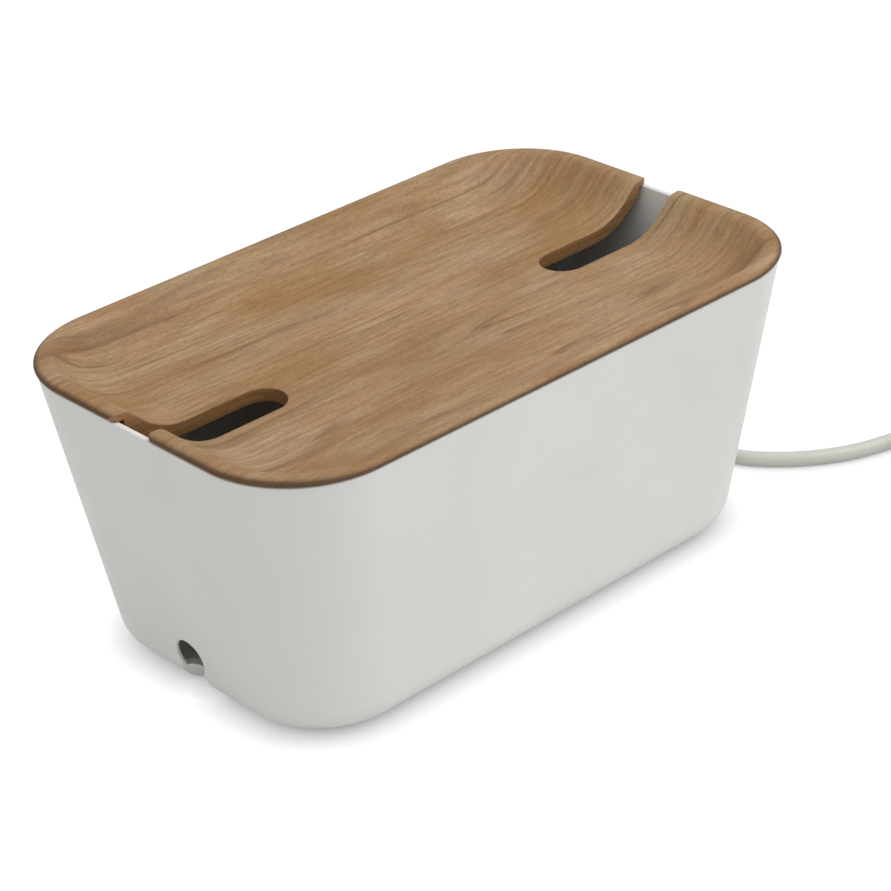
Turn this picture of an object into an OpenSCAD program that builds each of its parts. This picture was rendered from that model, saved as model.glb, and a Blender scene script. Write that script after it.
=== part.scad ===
// Cable management box: a leaning-walled tub with a dished, slotted lid,
// holding a four-socket power strip whose mains lead runs out of one end.
// X runs along the box, Y across it, Z up. The origin is on the floor,
// under the middle of the box.

/* [Box] */
// Length over the lid
box_l = 305; // [300:1:340]
// Width over the lid
box_w = 188.5; // [176:0.5:210]
// Height from the floor to the top of the lid's rim
box_h = 134.4; // [124:0.1:150]
// Corner radius of the lid in plan
lid_corner_r = 46.5; // [40:0.5:52]
// Corner radius of the tub where its walls meet its underside
base_corner_r = 39; // [32:0.5:42]
// Lean of the walls from upright, in degrees
wall_lean = 8.2; // [7:0.1:9]
// Radius of the edge between the walls and the underside
base_edge_r = 14; // [10:0.5:18]
// Thickness of the tub's walls
wall_t = 2.6; // [2:0.1:3.2]
// Thickness of the tub's floor
floor_t = 3; // [2.4:0.1:4]

/* [Lid] */
// Thickness of the lid
lid_t = 6.2; // [4:0.1:6.6]
// Depth of the dish below the rim
dish_depth = 15.2; // [13:0.1:17]
// Radius at the foot of the dish's side
dish_r = 32; // [24:1:36]
// Steepest slope of the dish's side, in degrees
dish_slope = 43; // [38:1:48]
// Radius that rounds the rim's inner side
crest_r = 6; // [3:0.5:8]
// Width of the level band along the rim
rim_land = 0.8; // [0.4:0.1:4]
// Width of the rounding along the lid's outer top edge
lid_round_w = 4.4; // [3:0.1:6]
// Height of the rounding along the lid's outer top edge
lid_round_h = 2; // [1:0.1:2]
// Height of the lid's outer edge
lid_edge_h = 2.4; // [2.4:0.1:4]
// How far the lid stands out past the tub
lid_overhang = 0.8; // [0.5:0.1:1.4]
// Height of the lid's edge above its seat on the tub's rim
shadow_h = 0.8; // [0.4:0.1:1.2]
// How far the shadow line under the lid's edge runs in
shadow_in = 1.8; // [1.4:0.1:2.2]
// Width of each cable slot
slot_w = 21; // [16:0.5:26]
// Length of each cable slot from the lid's end
slot_len = 76.5; // [60:0.5:90]
// Radius of the corners at each slot's mouth
mouth_r = 2; // [1:0.5:5]
// Gap between the lid and the tub
lid_gap = 0.3; // [0.1:0.05:0.4]

/* [Cable outlets] */
// Radius of the hole low in each end wall
outlet_r = 8.6; // [7.5:0.1:10]
// Height of the hole's centre above the floor
outlet_z = 18.6; // [17:0.1:22]
// Radius of the gutter below the hole
gutter_r = 8.8; // [8:0.1:12]
// Slope of the gutter from level, in degrees
gutter_slope = 52; // [50:1:58]

/* [Feet] */
// Radius of each rubber foot
foot_r = 7; // [5:0.5:9]
// How far the feet stand below the tub
foot_h = 1.2; // [0.8:0.1:2]
// Depth of each foot's seat in the tub's underside
foot_seat = 0.8; // [0.4:0.1:1.2]
// Distance of the feet from the lid's ends
foot_inset = 48.5; // [44.5:0.5:60]
// Distance of the feet from the lid's long sides
foot_side_inset = 48; // [46:0.5:56]

/* [Power strip] */
// Distance of the casing from the lid's end, away from the lead
strip_inset = 34.5; // [33:0.5:38]
// Distance of the casing from the lid's end, where the lead leaves
lead_inset = 60.5; // [57:0.5:64]
// Width of the strip's casing
strip_w = 52; // [50:0.5:58]
// Place of the strip's middle across the box
strip_y = 4; // [0:0.5:8]
// Height of the lower shell
strip_base_h = 14.8; // [14:0.1:18]
// Height of the upper shell
strip_cover_h = 22; // [21:0.1:25]
// Thickness of the shells
strip_wall = 2; // [1.6:0.1:2.4]
// Radius of the casing's upright edges
strip_corner_r = 9; // [6:0.5:12]
// Rounding along the casing's top edges
strip_edge_r = 2; // [1:0.5:3]
// Thickness of the pads under the strip
pad_t = 1; // [0.6:0.1:2]

/* [Sockets] */
// Distance of the first socket from the casing's end
socket_start = 27; // [25:0.5:29]
// Distance of the last socket from the switch
switch_gap = 34; // [33:0.5:37]
// Gap between neighbouring sockets
socket_gap = 1; // [0.4:0.1:3]
// Depth of each socket's well below the casing's top
well_depth = 17.5; // [16.5:0.1:18]
// Wall thickness of a socket
socket_wall = 1.5; // [1:0.1:1.6]
// Distance between pin holes
pin_pitch = 19; // [18.6:0.1:19.4]
// Radius of a pin hole
pin_hole_r = 2.7; // [2.5:0.05:2.9]

/* [Switch] */
// Distance of the switch from the casing's lead end
switch_inset = 20; // [18:0.5:21]
// Size of the switch body along the strip
switch_l = 21; // [18:0.5:22]
// Size of the switch body across the strip
switch_w = 29; // [26:0.5:32]
// Depth of the switch body below the casing's top
switch_depth = 15; // [13:0.5:16]
// Tilt of the rocker to each side, in degrees
rocker_tilt = 9; // [6:0.5:11]

/* [Mains lead] */
// Diameter of the lead
lead_d = 7; // [6:0.1:8]
// Length of the tapered sleeve where the lead leaves the strip
relief_l = 26; // [20:1:40]
// Gap round the plug in a socket's well
plug_gap = 1; // [0.4:0.1:2]
// Height of the plug's body
plug_h = 26; // [22:0.5:32]
// Gap round each of the plug's pins in its hole
pin_gap = 0.3; // [0.15:0.05:0.5]
// Length of the plug's pins
plug_pin_l = 19; // [17:0.5:20]

/* [Hidden] */
$fn = 64;
corner_steps = 10;
curve_steps = 5;
edge_steps = 3;
// Overlap of shapes that join, how far a cut runs past a face, and a close fit
eps = 0.01;
past = 1;
fit_gap = 0.1;

// Tub: heights and outline
tub_z = foot_h;
lid_edge_z = box_h - lid_edge_h;
seat_z = lid_edge_z - shadow_h;
rim_z = seat_z - lid_gap;
lean_tan = tan(wall_lean);
across = box_l - box_w;
rim_half = box_l / 2 - lid_overhang;
rim_r = lid_corner_r - lid_overhang;
base_half = rim_half - (rim_z - tub_z) * lean_tan;
floor_z = tub_z + floor_t;
wall_h_t = wall_t / cos(wall_lean);
floor_half = base_half + floor_t * lean_tan - wall_h_t;
inner_edge_r = base_edge_r - wall_t;
rim_round = 0.6;
foot_x = box_l / 2 - foot_inset;
foot_y = box_w / 2 - foot_side_inset;
function wall_x(z) = base_half + (z - tub_z) * lean_tan;

// Cable outlets: the gutter's foot, and the sill that closes it inside
gutter_foot_in = 12;
gutter_below = 14;
gutter_run = outlet_z + outlet_r;
sill_t = 2.2;
sill_in = 14;
sill_side = 3;
sill_z = outlet_z - 6;
sill_foot_in = 3.9;
sill_bend = [1, 4.5];

// Lid: inset and rise of its section
rest_rise = dish_depth - (dish_r + crest_r) * (1 - cos(dish_slope));
straight = rest_rise / sin(dish_slope);
crest_in = lid_round_w + rim_land;
straight_in = crest_in + crest_r * sin(dish_slope);
dish_in = straight_in + straight * cos(dish_slope);
flat_in = dish_in + dish_r * sin(dish_slope);
dish_z = box_h - dish_depth;
lid_under_z = dish_z - lid_t;
seat_in = lid_overhang + wall_h_t + 2 * lid_gap;
seat_step = 0.6;
seat_rise = 1;
edge_break = 0.3;
dish_steps = curve_steps + 1;

// Power strip: heights and places
strip_l = box_l - strip_inset - lead_inset;
strip_x = (strip_inset - lead_inset) / 2;
strip_z = floor_z + pad_t;
split_z = strip_z + strip_base_h;
strip_top = split_z + strip_cover_h;
strip_end = strip_x + strip_l / 2;
strip_start = strip_x - strip_l / 2;
pad_r = 5;
pad_in = [12, 10];
floor_rib_t = 2;
floor_rib_w = 28;

// Sockets: they share the casing's length, and fill its width
sockets = 4;
socket_pitch = (strip_l - socket_start - switch_gap - switch_inset) / (sockets - 1);
socket_room = min(socket_pitch, strip_w - 2 * strip_wall);
well_r = (socket_room - socket_gap) / 2 - socket_wall;
socket_r = well_r + socket_wall;
socket_floor_t = 2;
key_w = 4.8;
key_t = 2.6;
key_out = 0.7;
key_drop = 2;
well_z = strip_top - well_depth;
function socket_x(n) = strip_start + socket_start + n * socket_pitch;
switch_x = strip_end - switch_inset;

// Contacts: bars on the lower shell's ribs, spring tubes, and earth arms
rib_z = strip_z + strip_wall + 2;
bar_t = 0.8;
bar_w = 6;
bar_start = 6;
bar_tail = 10;
plug_pin_r = pin_hole_r - pin_gap;
tube_r = plug_pin_r + fit_gap;
tube_wall = 0.6;
tube_top = well_z - socket_floor_t - 0.8;
tube_slit_w = 0.8;
tube_slit_z = rib_z + bar_t + 2;
earth_arm_w = 5;
earth_arm_in = well_r - 1;
earth_arm_top = strip_top - strip_wall - 3;
earth_spring = 1.6;
earth_spring_z = [well_z + 2, well_z + 8];
earth_slot_l = 4.4;
earth_slot_in = 0.6;
earth_slot_gap = 0.4;
earth_tail = 4;

// Screws that hold the two shells together, in bosses between the sockets
boss_r = 4.4;
cover_boss_r = 3.4;
boss_y = strip_w / 2 - strip_wall - 3.2;
boss_xs = [socket_x(0) + socket_pitch / 2, socket_x(2) + socket_pitch / 2];
screw_r = 1.5;
screw_head_r = 2.9;
screw_head_h = 2;
screw_l = 22;
screw_seat_z = strip_z + 0.4 + screw_head_h;

// Switch: frame, rocker on its pivot, lamp and terminals
frame_wall = 1.5;
frame_low = strip_top - switch_depth;
bezel_w = 1.5;
bezel_t = 1.4;
rocker_gap = 0.4;
rocker_l = switch_l - 5;
rocker_half = switch_w / 2 - 2;
rocker_z = strip_top - 3.4;
rocker_horn = 5.2;
rocker_dip = 3.6;
rocker_side = 1;
rocker_belly = 4.4;
rocker_belly_half = 4;
pivot_r = 1.5;
pivot_gap = 0.05;
pivot_past = 1.5;
lamp_r = 1.6;
lamp_l = 8;
terminal_y = 7;
terminal_w = 4.8;
terminal_t = 0.8;
terminal_h = 7;
terminal_foot = 2.5;

// Lead: radius, sleeve, clamp
lead_r = lead_d / 2;
relief_end = strip_end + relief_l;
relief_r = lead_r + 2.3;
relief_tip_r = lead_r + 0.9;
relief_ring_l = 3;
neck_r = lead_r + 1.5;
flange_r = neck_r + 1;
flange_t = 1.6;
clamp_x = strip_end - strip_wall - 5;
clamp_l = 6;
clamp_w = 24;
clamp_top = split_z + lead_r + 1.8;
clamp_screw_y = 8.5;
clamp_screw_depth = 7;
clamp_head_r = 2.6;
clamp_head_h = 1.6;
wire_r = 1.1;
wire_on_bar = 5;
wire_on_earth = 3;
wire_rise = 6;
stub_start = clamp_x - clamp_l / 2 - 3;

// Coil of the stored length: two flat spirals, one on the other
coil_at = [247.5, -135];
coil_outer = 47;
coil_turns = 5.44;
coil_layers = 2;
turn_pitch = lead_d + 0.1;
coil_inner = coil_outer - coil_turns / coil_layers * turn_pitch;
tie_t = 1;
tie_w = 12;

// Route of the lead, from the sleeve to the coil
lead_route = [
    [118, 4, 20], [121, 4, 20], [124.5, 3.6, 19.5], [128.5, 2.7, 18.5], [133, 1.2, 16.9],
    [138, -1.2, 14.4], [143, -4.6, 11.5], [147.5, -9, 8.6], [151.5, -14.5, 6.2],
    [154.5, -21, 4.5], [156.7, -28, 3.7], [158.8, -34.6, 3.5], [161.4, -40.8, 3.5],
    [165.2, -46.8, 3.5], [170.2, -52.9, 3.5], [176.1, -59, 3.5], [183, -64.7, 3.5],
    [190.8, -70, 3.5], [199.3, -74.5, 3.5], [208.5, -78, 3.5], [218.4, -80.9, 3.5],
    [229, -83.2, 3.5], [240, -85.2, 3.5], [251, -87.4, 3.5], [260.4, -89.8, 3.5]];
// Route of the lead, from the coil to the plug
tail_route = [
    [251.6, -181.8, 10.5], [243, -182.4, 10.1], [234.5, -182.6, 9],
    [226, -182.3, 7.4], [219.5, -181.6, 6.1], [214, -180.8, 5.5], [209, -180, 5.5]];

// Plug: it stands on its back, its sleeve in line with the end of the lead
plug_r = well_r - plug_gap;
plug_relief_l = 24;
plug_relief_wall = 0.7;
plug_reach = plug_r + plug_relief_l;
tail_end = tail_route[len(tail_route) - 1];
tail_last = tail_end - tail_route[len(tail_route) - 2];
plug_turn = atan2(-tail_last[1], -tail_last[0]);
plug_lead_z = tail_end[2];
plug_notch_w = 5.4;
plug_notch_t = 3;
plug_notch_l = 16;
plug_groove_w = 6.4;
plug_groove_t = 1.4;
plug_groove_l = 14;
pin_root_r = 1.8;
pin_root_l = 6;
pin_tip = 1;
pin_tip_r = plug_pin_r - 0.9;

// One rounded rectangle of points, counter-clockwise from above
function ring(l, w, r, z) = [
    for (q = [0:3], i = [0:corner_steps])
        let (a = 90 * (q + i / corner_steps),
            sx = q == 0 || q == 3 ? 1 : -1,
            sy = q < 2 ? 1 : -1)
        [sx * (l / 2 - r) + r * cos(a), sy * (w / 2 - r) + r * sin(a), z]];

function backwards(list) = [for (i = [len(list) - 1:-1:0]) list[i]];

// Closed solid through a list of rings, from its lower cap to its upper one
module ring_stack(rings) {
    n = len(rings[0]);
    last = len(rings) - 1;
    sides = [
        for (k = [0:last - 1], i = [0:n - 1])
            let (j = (i + 1) % n)
            each [[k * n + i, (k + 1) * n + j, k * n + j],
                [k * n + i, (k + 1) * n + i, (k + 1) * n + j]]];
    caps = [[for (i = [0:n - 1]) i], [for (i = [n - 1:-1:0]) last * n + i]];
    polyhedron([for (r = rings) each r], concat(sides, caps), convexity = 6);
}

// Tub
// Rings of the round edge between wall and floor, from the floor up
function edge_rings(half, edge_r, corner_r, z) =
    let (reach = edge_r * tan((90 - wall_lean) / 2))
    [for (i = [0:curve_steps])
        let (a = (90 - wall_lean) * i / curve_steps,
            inset = reach - edge_r * sin(a),
            l = 2 * (half - inset))
        ring(l, l - across, corner_r - inset, z + edge_r * (1 - cos(a)))];

module tub_shell() {
    outer = edge_rings(base_half, base_edge_r, base_corner_r, tub_z);
    inner = edge_rings(floor_half, inner_edge_r, base_corner_r - wall_t, floor_z);
    rim_l = 2 * rim_half;
    rim_in = rim_l - 2 * wall_h_t;
    rim = [
        ring(rim_l - 2 * rim_round * lean_tan, rim_l - 2 * rim_round * lean_tan - across,
            rim_r, rim_z - rim_round),
        ring(rim_l - 2 * rim_round, rim_l - 2 * rim_round - across, rim_r - rim_round, rim_z),
        ring(rim_in + 2 * rim_round, rim_in + 2 * rim_round - across,
            rim_r - wall_t + rim_round, rim_z),
        ring(rim_in, rim_in - across, rim_r - wall_t, rim_z - rim_round)];
    ring_stack(concat(outer, rim, backwards(inner)));
}

// A cylinder down an end wall's gutter, drawn for the +X end
module gutter(r) {
    foot = [wall_x(tub_z) - gutter_foot_in, 0, tub_z];
    slope_axis = [cos(gutter_slope), 0, sin(gutter_slope)];
    middle = foot + gutter_r * [sin(gutter_slope), 0, -cos(gutter_slope)];
    translate(middle - gutter_below * slope_axis)
        rotate([0, 90 - gutter_slope, 0])
            cylinder(r = r, h = gutter_below + gutter_run);
}

// Side view of the room that the sill fills, which ends inside the leaning wall
module sill_plan() {
    wall = wall_x(tub_z);
    low = floor_z - eps;
    polygon([[wall - sill_in, low], [wall - sill_foot_in, low],
        [wall - sill_bend[0], floor_z + sill_bend[1]], [wall, sill_z], [wall - sill_in, sill_z]]);
}

module outlet_sill() {
    half = outlet_r + sill_side;
    intersection() {
        gutter(gutter_r + sill_t);
        translate([0, half, 0])
            rotate([90, 0, 0])
                linear_extrude(2 * half)
                    sill_plan();
    }
}

module outlet_cut() {
    gutter(gutter_r);
    translate([wall_x(outlet_z), 0, outlet_z])
        rotate([0, 90 + wall_lean, 0])
            cylinder(r = outlet_r, h = 2 * (sill_in + past), center = true);
}

module at_feet() {
    for (x = [-foot_x, foot_x], y = [-foot_y, foot_y])
        translate([x, y, 0])
            children();
}

module tub() {
    color([0.86, 0.86, 0.84])
        difference() {
            union() {
                tub_shell();
                for (m = [0, 1])
                    mirror([m, 0, 0])
                        outlet_sill();
            }
            for (m = [0, 1])
                mirror([m, 0, 0])
                    outlet_cut();
            at_feet()
                translate([0, 0, -past])
                    cylinder(r = foot_r + fit_gap, h = past + tub_z + foot_seat);
        }
}

module feet() {
    color([0.2, 0.2, 0.2])
        at_feet()
            cylinder(r = foot_r, h = tub_z + foot_seat);
}

// Lid
// Rings of the lid's upper face, inset from its outline, from the dish outwards
function lid_ring(inset, z) =
    ring(box_l - 2 * inset, box_w - 2 * inset, lid_corner_r - inset, z);

function dish_rings(drop) = [
    for (i = [0:dish_steps])
        let (a = dish_slope * i / dish_steps)
        lid_ring(flat_in - (dish_r + drop) * sin(a),
            dish_z - drop + (dish_r + drop) * (1 - cos(a)))];

module lid_blank() {
    crest = [for (i = [0:edge_steps])
        let (a = dish_slope * (1 - i / edge_steps))
        lid_ring(crest_in + crest_r * sin(a), box_h - crest_r * (1 - cos(a)))];
    edge = [for (i = [0:edge_steps])
        let (a = 90 * i / edge_steps)
        lid_ring(lid_round_w * (1 - sin(a)), box_h - lid_round_h * (1 - cos(a)))];
    seat = [
        lid_ring(edge_break, lid_edge_z),
        lid_ring(shadow_in, lid_edge_z),
        lid_ring(shadow_in, seat_z),
        lid_ring(seat_in, seat_z),
        lid_ring(seat_in + seat_step, box_h - lid_t - seat_rise)];
    ring_stack(concat(dish_rings(lid_t), backwards(seat), backwards(edge),
        backwards(crest), backwards(dish_rings(0))));
}

// Plan of the slot at the -X end, with its mouth rounded open
module slot_plan() {
    end_x = -box_l / 2;
    tip_x = end_x + slot_len - slot_w / 2;
    translate([tip_x, 0])
        circle(d = slot_w);
    translate([end_x - past, -slot_w / 2])
        square([tip_x - end_x + past, slot_w]);
    for (s = [-1, 1])
        difference() {
            translate([end_x - past, s > 0 ? slot_w / 2 - eps : -slot_w / 2 - mouth_r])
                square([mouth_r + past, mouth_r + eps]);
            translate([end_x + mouth_r, s * (slot_w / 2 + mouth_r)])
                circle(r = mouth_r);
        }
}

module lid() {
    color([0.65, 0.51, 0.38])
        difference() {
            lid_blank();
            for (m = [0, 1])
                mirror([m, 0, 0])
                    translate([0, 0, lid_under_z - past])
                        linear_extrude(box_h - lid_under_z + 2 * past)
                            slot_plan();
        }
}

// Power strip
module strip_outline(inset) {
    r = strip_corner_r - inset;
    for (sx = [-1, 1], sy = [-1, 1])
        translate([strip_x + sx * (strip_l / 2 - strip_corner_r),
            strip_y + sy * (strip_w / 2 - strip_corner_r)])
            circle(r = r);
    translate([strip_start + strip_corner_r, strip_y - strip_w / 2 + inset])
        square([strip_l - 2 * strip_corner_r, strip_w - 2 * inset]);
    translate([strip_start + inset, strip_y - strip_w / 2 + strip_corner_r])
        square([strip_l - 2 * inset, strip_w - 2 * strip_corner_r]);
}

module slab(inset, z, h) {
    translate([0, 0, z])
        linear_extrude(h)
            strip_outline(inset);
}

module at_bosses() {
    for (x = boss_xs, s = [-1, 1])
        translate([x, strip_y + s * boss_y, 0])
            children();
}

// Round opening for the sleeve's neck, half in each shell
module neck_hole() {
    translate([strip_end - strip_wall - past, strip_y, split_z])
        rotate([0, 90, 0])
            cylinder(r = neck_r + fit_gap, h = strip_wall + 2 * past);
}

module clamp_screw_holes(r, z, h) {
    for (s = [-1, 1])
        translate([clamp_x, strip_y + s * clamp_screw_y, z])
            cylinder(r = r, h = h);
}

module lead_bore(r, x, l) {
    translate([x, strip_y, split_z])
        rotate([0, 90, 0])
            cylinder(r = r, h = l);
}

module strip_base() {
    inside_z = strip_z + strip_wall;
    color([0.9, 0.9, 0.89])
        difference() {
            union() {
                difference() {
                    slab(0, strip_z, strip_base_h);
                    slab(strip_wall, inside_z, strip_base_h);
                }
                for (n = [1:sockets])
                    translate([socket_x(n - 0.5) - floor_rib_t / 2, strip_y - floor_rib_w / 2,
                        strip_z + eps])
                        cube([floor_rib_t, floor_rib_w, rib_z - strip_z - eps]);
                at_bosses()
                    translate([0, 0, strip_z])
                        cylinder(r = boss_r, h = strip_base_h);
                translate([clamp_x - clamp_l / 2, strip_y - clamp_w / 2, strip_z + eps])
                    cube([clamp_l, clamp_w, strip_base_h - eps]);
            }
            at_bosses() {
                translate([0, 0, strip_z - past])
                    cylinder(r = screw_head_r + 2 * fit_gap, h = screw_seat_z - strip_z + past);
                translate([0, 0, strip_z])
                    cylinder(r = screw_r + fit_gap, h = strip_base_h + past);
            }
            neck_hole();
            lead_bore(lead_r + fit_gap / 2, clamp_x - clamp_l, 2 * clamp_l);
            clamp_screw_holes(screw_r + fit_gap / 2, split_z - clamp_screw_depth - past,
                clamp_screw_depth + 2 * past);
        }
}

// The cover's outside, with a round edge along its top
module cover_blank() {
    edge = [for (i = [0:curve_steps])
        let (a = 90 * i / curve_steps, inset = strip_edge_r * (1 - cos(a)))
        ring(strip_l - 2 * inset, strip_w - 2 * inset, strip_corner_r - inset,
            strip_top - strip_edge_r * (1 - sin(a)))];
    translate([strip_x, strip_y, 0])
        ring_stack(concat([ring(strip_l, strip_w, strip_corner_r, split_z)], edge));
}

module strip_cover() {
    roof_z = strip_top - strip_wall;
    color([0.9, 0.9, 0.89])
        difference() {
            union() {
                difference() {
                    cover_blank();
                    slab(strip_wall, split_z - past, strip_cover_h - strip_wall + past);
                }
                at_bosses()
                    translate([0, 0, split_z])
                        cylinder(r = cover_boss_r, h = roof_z - split_z + eps);
            }
            at_bosses()
                translate([0, 0, screw_seat_z])
                    cylinder(r = screw_r + fit_gap / 2, h = screw_l + past);
            for (n = [0:sockets - 1])
                translate([socket_x(n), strip_y, roof_z - past])
                    cylinder(r = well_r, h = strip_wall + 2 * past);
            translate([switch_x - switch_l / 2 - fit_gap, strip_y - switch_w / 2 - fit_gap,
                roof_z - past])
                cube([switch_l + 2 * fit_gap, switch_w + 2 * fit_gap, strip_wall + 2 * past]);
            neck_hole();
        }
}

// A socket's well, with keys at its sides, pin holes across the strip and slots for
// the earth arms
module socket(n) {
    low = well_z - socket_floor_t;
    color([0.9, 0.9, 0.89])
        translate([socket_x(n), strip_y, 0])
            difference() {
                union() {
                    difference() {
                        translate([0, 0, low])
                            cylinder(r = socket_r, h = strip_top - strip_wall - low);
                        translate([0, 0, well_z])
                            cylinder(r = well_r, h = well_depth);
                    }
                    for (s = [-1, 1])
                        translate([-key_w / 2, s * (well_r - key_out) - key_t / 2, low])
                            cube([key_w, key_t, strip_top - strip_wall - key_drop - low]);
                }
                for (s = [-1, 1]) {
                    translate([0, s * pin_pitch / 2, low - past])
                        cylinder(r = pin_hole_r, h = socket_floor_t + 2 * past);
                    translate([s * (earth_arm_in - earth_slot_in) - earth_slot_l / 2,
                        -earth_arm_w / 2 - earth_slot_gap, low - past])
                        cube([earth_slot_l, earth_arm_w + 2 * earth_slot_gap,
                            socket_floor_t + 2 * past]);
                }
            }
}

module socket_1() { socket(0); }
module socket_2() { socket(1); }
module socket_3() { socket(2); }
module socket_4() { socket(3); }

// A strip of metal along the casing, with a split spring tube below each pin hole
module contact_bar(side) {
    y = strip_y + side * pin_pitch / 2;
    color([0.78, 0.62, 0.3])
        difference() {
            union() {
                translate([socket_x(0) - bar_start, y - bar_w / 2, rib_z])
                    cube([(sockets - 1) * socket_pitch + bar_start + bar_tail, bar_w, bar_t]);
                for (n = [0:sockets - 1])
                    translate([socket_x(n), y, rib_z])
                        cylinder(r = tube_r + tube_wall, h = tube_top - rib_z);
            }
            for (n = [0:sockets - 1]) {
                translate([socket_x(n), y, rib_z - past])
                    cylinder(r = tube_r, h = tube_top - rib_z + 2 * past);
                translate([socket_x(n) - tube_slit_w / 2, y - tube_r - past, tube_slit_z])
                    cube([tube_slit_w, 2 * (tube_r + past), tube_top - rib_z]);
            }
        }
}

module live_bar() { contact_bar(1); }
module neutral_bar() { contact_bar(-1); }

// Side view of one earth arm, springing into the well
module earth_arm_plan() {
    outer = [[earth_arm_in, rib_z], [earth_arm_in, earth_spring_z[0]],
        [earth_arm_in - earth_spring, earth_spring_z[1]], [earth_arm_in, earth_arm_top]];
    inner = [for (p = backwards(outer)) p - [bar_t, 0]];
    polygon(concat(outer, inner));
}

module earth_bar() {
    color([0.75, 0.75, 0.72]) {
        translate([socket_x(0) - earth_arm_in, strip_y - bar_w / 2, rib_z])
            cube([(sockets - 1) * socket_pitch + 2 * earth_arm_in + earth_tail, bar_w, bar_t]);
        for (n = [0:sockets - 1], m = [0, 1])
            translate([socket_x(n), strip_y + earth_arm_w / 2, 0])
                mirror([m, 0, 0])
                    rotate([90, 0, 0])
                        linear_extrude(earth_arm_w)
                            earth_arm_plan();
    }
}

// Switch
module switch_frame() {
    terminal_slot = [terminal_w + 2 * fit_gap, terminal_t + 2 * fit_gap];
    color([0.88, 0.88, 0.87])
        translate([switch_x, strip_y, 0])
            difference() {
                union() {
                    translate([-switch_l / 2, -switch_w / 2, frame_low])
                        cube([switch_l, switch_w, switch_depth + eps]);
                    translate([-switch_l / 2 - bezel_w, -switch_w / 2 - bezel_w, strip_top])
                        cube([switch_l + 2 * bezel_w, switch_w + 2 * bezel_w, bezel_t]);
                }
                translate([-rocker_l / 2 - rocker_gap, -rocker_half - rocker_side,
                    frame_low + frame_wall])
                    cube([rocker_l + 2 * rocker_gap, 2 * (rocker_half + rocker_side),
                        switch_depth + bezel_t]);
                translate([-switch_l / 2 - past, 0, rocker_z])
                    rotate([0, 90, 0])
                        cylinder(r = pivot_r + pivot_gap, h = switch_l + 2 * past);
                for (s = [-1, 1])
                    translate([-terminal_slot[0] / 2, s * terminal_y - terminal_slot[1] / 2,
                        frame_low - past])
                        cube([terminal_slot[0], terminal_slot[1], frame_wall + 2 * past]);
            }
}

// Side view of the rocker, level, about its pivot
module rocker_plan() {
    polygon([[-rocker_half, rocker_horn], [0, rocker_dip], [rocker_half, rocker_horn],
        [rocker_half, -rocker_side], [rocker_belly_half, -rocker_belly],
        [-rocker_belly_half, -rocker_belly], [-rocker_half, -rocker_side]]);
}

module switch_rocker() {
    color([0.75, 0.12, 0.08])
        translate([switch_x, strip_y, rocker_z])
            rotate([-rocker_tilt, 0, 0]) {
                rotate([90, 0, 90])
                    translate([0, 0, -rocker_l / 2])
                        linear_extrude(rocker_l)
                            rocker_plan();
                rotate([0, 90, 0])
                    cylinder(r = pivot_r, h = rocker_l + 2 * pivot_past, center = true);
            }
}

module switch_lamp() {
    color([0.95, 0.5, 0.3])
        translate([switch_x - lamp_l / 2, strip_y, frame_low + frame_wall + lamp_r])
            rotate([0, 90, 0])
                cylinder(r = lamp_r, h = lamp_l);
}

// Two terminals through the frame's floor, each with a foot turned towards +Y or -Y
module switch_contacts() {
    top = frame_low + terminal_h / 2;
    color([0.8, 0.66, 0.35])
        for (m = [0, 1])
            translate([switch_x - terminal_w / 2, strip_y, 0])
                mirror([0, m, 0]) {
                    translate([0, terminal_y - terminal_t / 2, top - terminal_h])
                        cube([terminal_w, terminal_t, terminal_h]);
                    translate([0, terminal_y - terminal_t / 2, top - terminal_t])
                        cube([terminal_w, terminal_foot, terminal_t]);
                }
}

// Lead's entry: clamp, sleeve and the stretch inside the strip
module cord_clamp() {
    color([0.3, 0.3, 0.3])
        difference() {
            translate([clamp_x - clamp_l / 2, strip_y - clamp_w / 2, split_z])
                cube([clamp_l, clamp_w, clamp_top - split_z]);
            lead_bore(lead_r + fit_gap / 2, clamp_x - clamp_l, 2 * clamp_l);
            clamp_screw_holes(screw_r + fit_gap, split_z - past, clamp_top - split_z + 2 * past);
        }
}

// A pan-head screw pointing down, its head's seat at the origin
module screw(l, head_r, head_h) {
    drive_half = 0.6 * head_r;
    drive_w = 0.8;
    drive_z = 0.4 * head_h;
    difference() {
        union() {
            translate([0, 0, -l])
                cylinder(r = screw_r, h = l);
            cylinder(r = head_r, h = head_h);
        }
        for (a = [0, 90])
            rotate(a)
                translate([-drive_half, -drive_w / 2, drive_z])
                    cube([2 * drive_half, drive_w, head_h]);
    }
}

module clamp_screws() {
    color([0.8, 0.8, 0.8])
        for (s = [-1, 1])
            translate([clamp_x, strip_y + s * clamp_screw_y, clamp_top])
                screw(clamp_top - split_z + clamp_screw_depth, clamp_head_r, clamp_head_h);
}

module cover_screws() {
    color([0.8, 0.8, 0.8])
        at_bosses()
            translate([0, 0, screw_seat_z])
                mirror([0, 0, 1])
                    screw(screw_l, screw_head_r, screw_head_h);
}

module strip_pads() {
    color([0.25, 0.25, 0.25])
        for (sx = [-1, 1], sy = [-1, 1])
            translate([strip_x + sx * (strip_l / 2 - pad_in[0]),
                strip_y + sy * (strip_w / 2 - pad_in[1]), floor_z])
                cylinder(r = pad_r, h = pad_t);
}

// Tapered sleeve, held in the casing's end wall by its neck and an inner flange
module strain_relief() {
    bore_r = lead_r + fit_gap / 2;
    seat = strip_wall + fit_gap;
    color([0.8, 0.8, 0.78])
        translate([strip_end, strip_y, split_z])
            rotate([0, 90, 0])
                rotate_extrude()
                    polygon([[bore_r, -seat - flange_t], [flange_r, -seat - flange_t],
                        [flange_r, -seat], [neck_r, -seat], [neck_r, fit_gap],
                        [relief_r, fit_gap], [relief_r, relief_ring_l],
                        [relief_tip_r, relief_l], [bore_r, relief_l]]);
}

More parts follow.
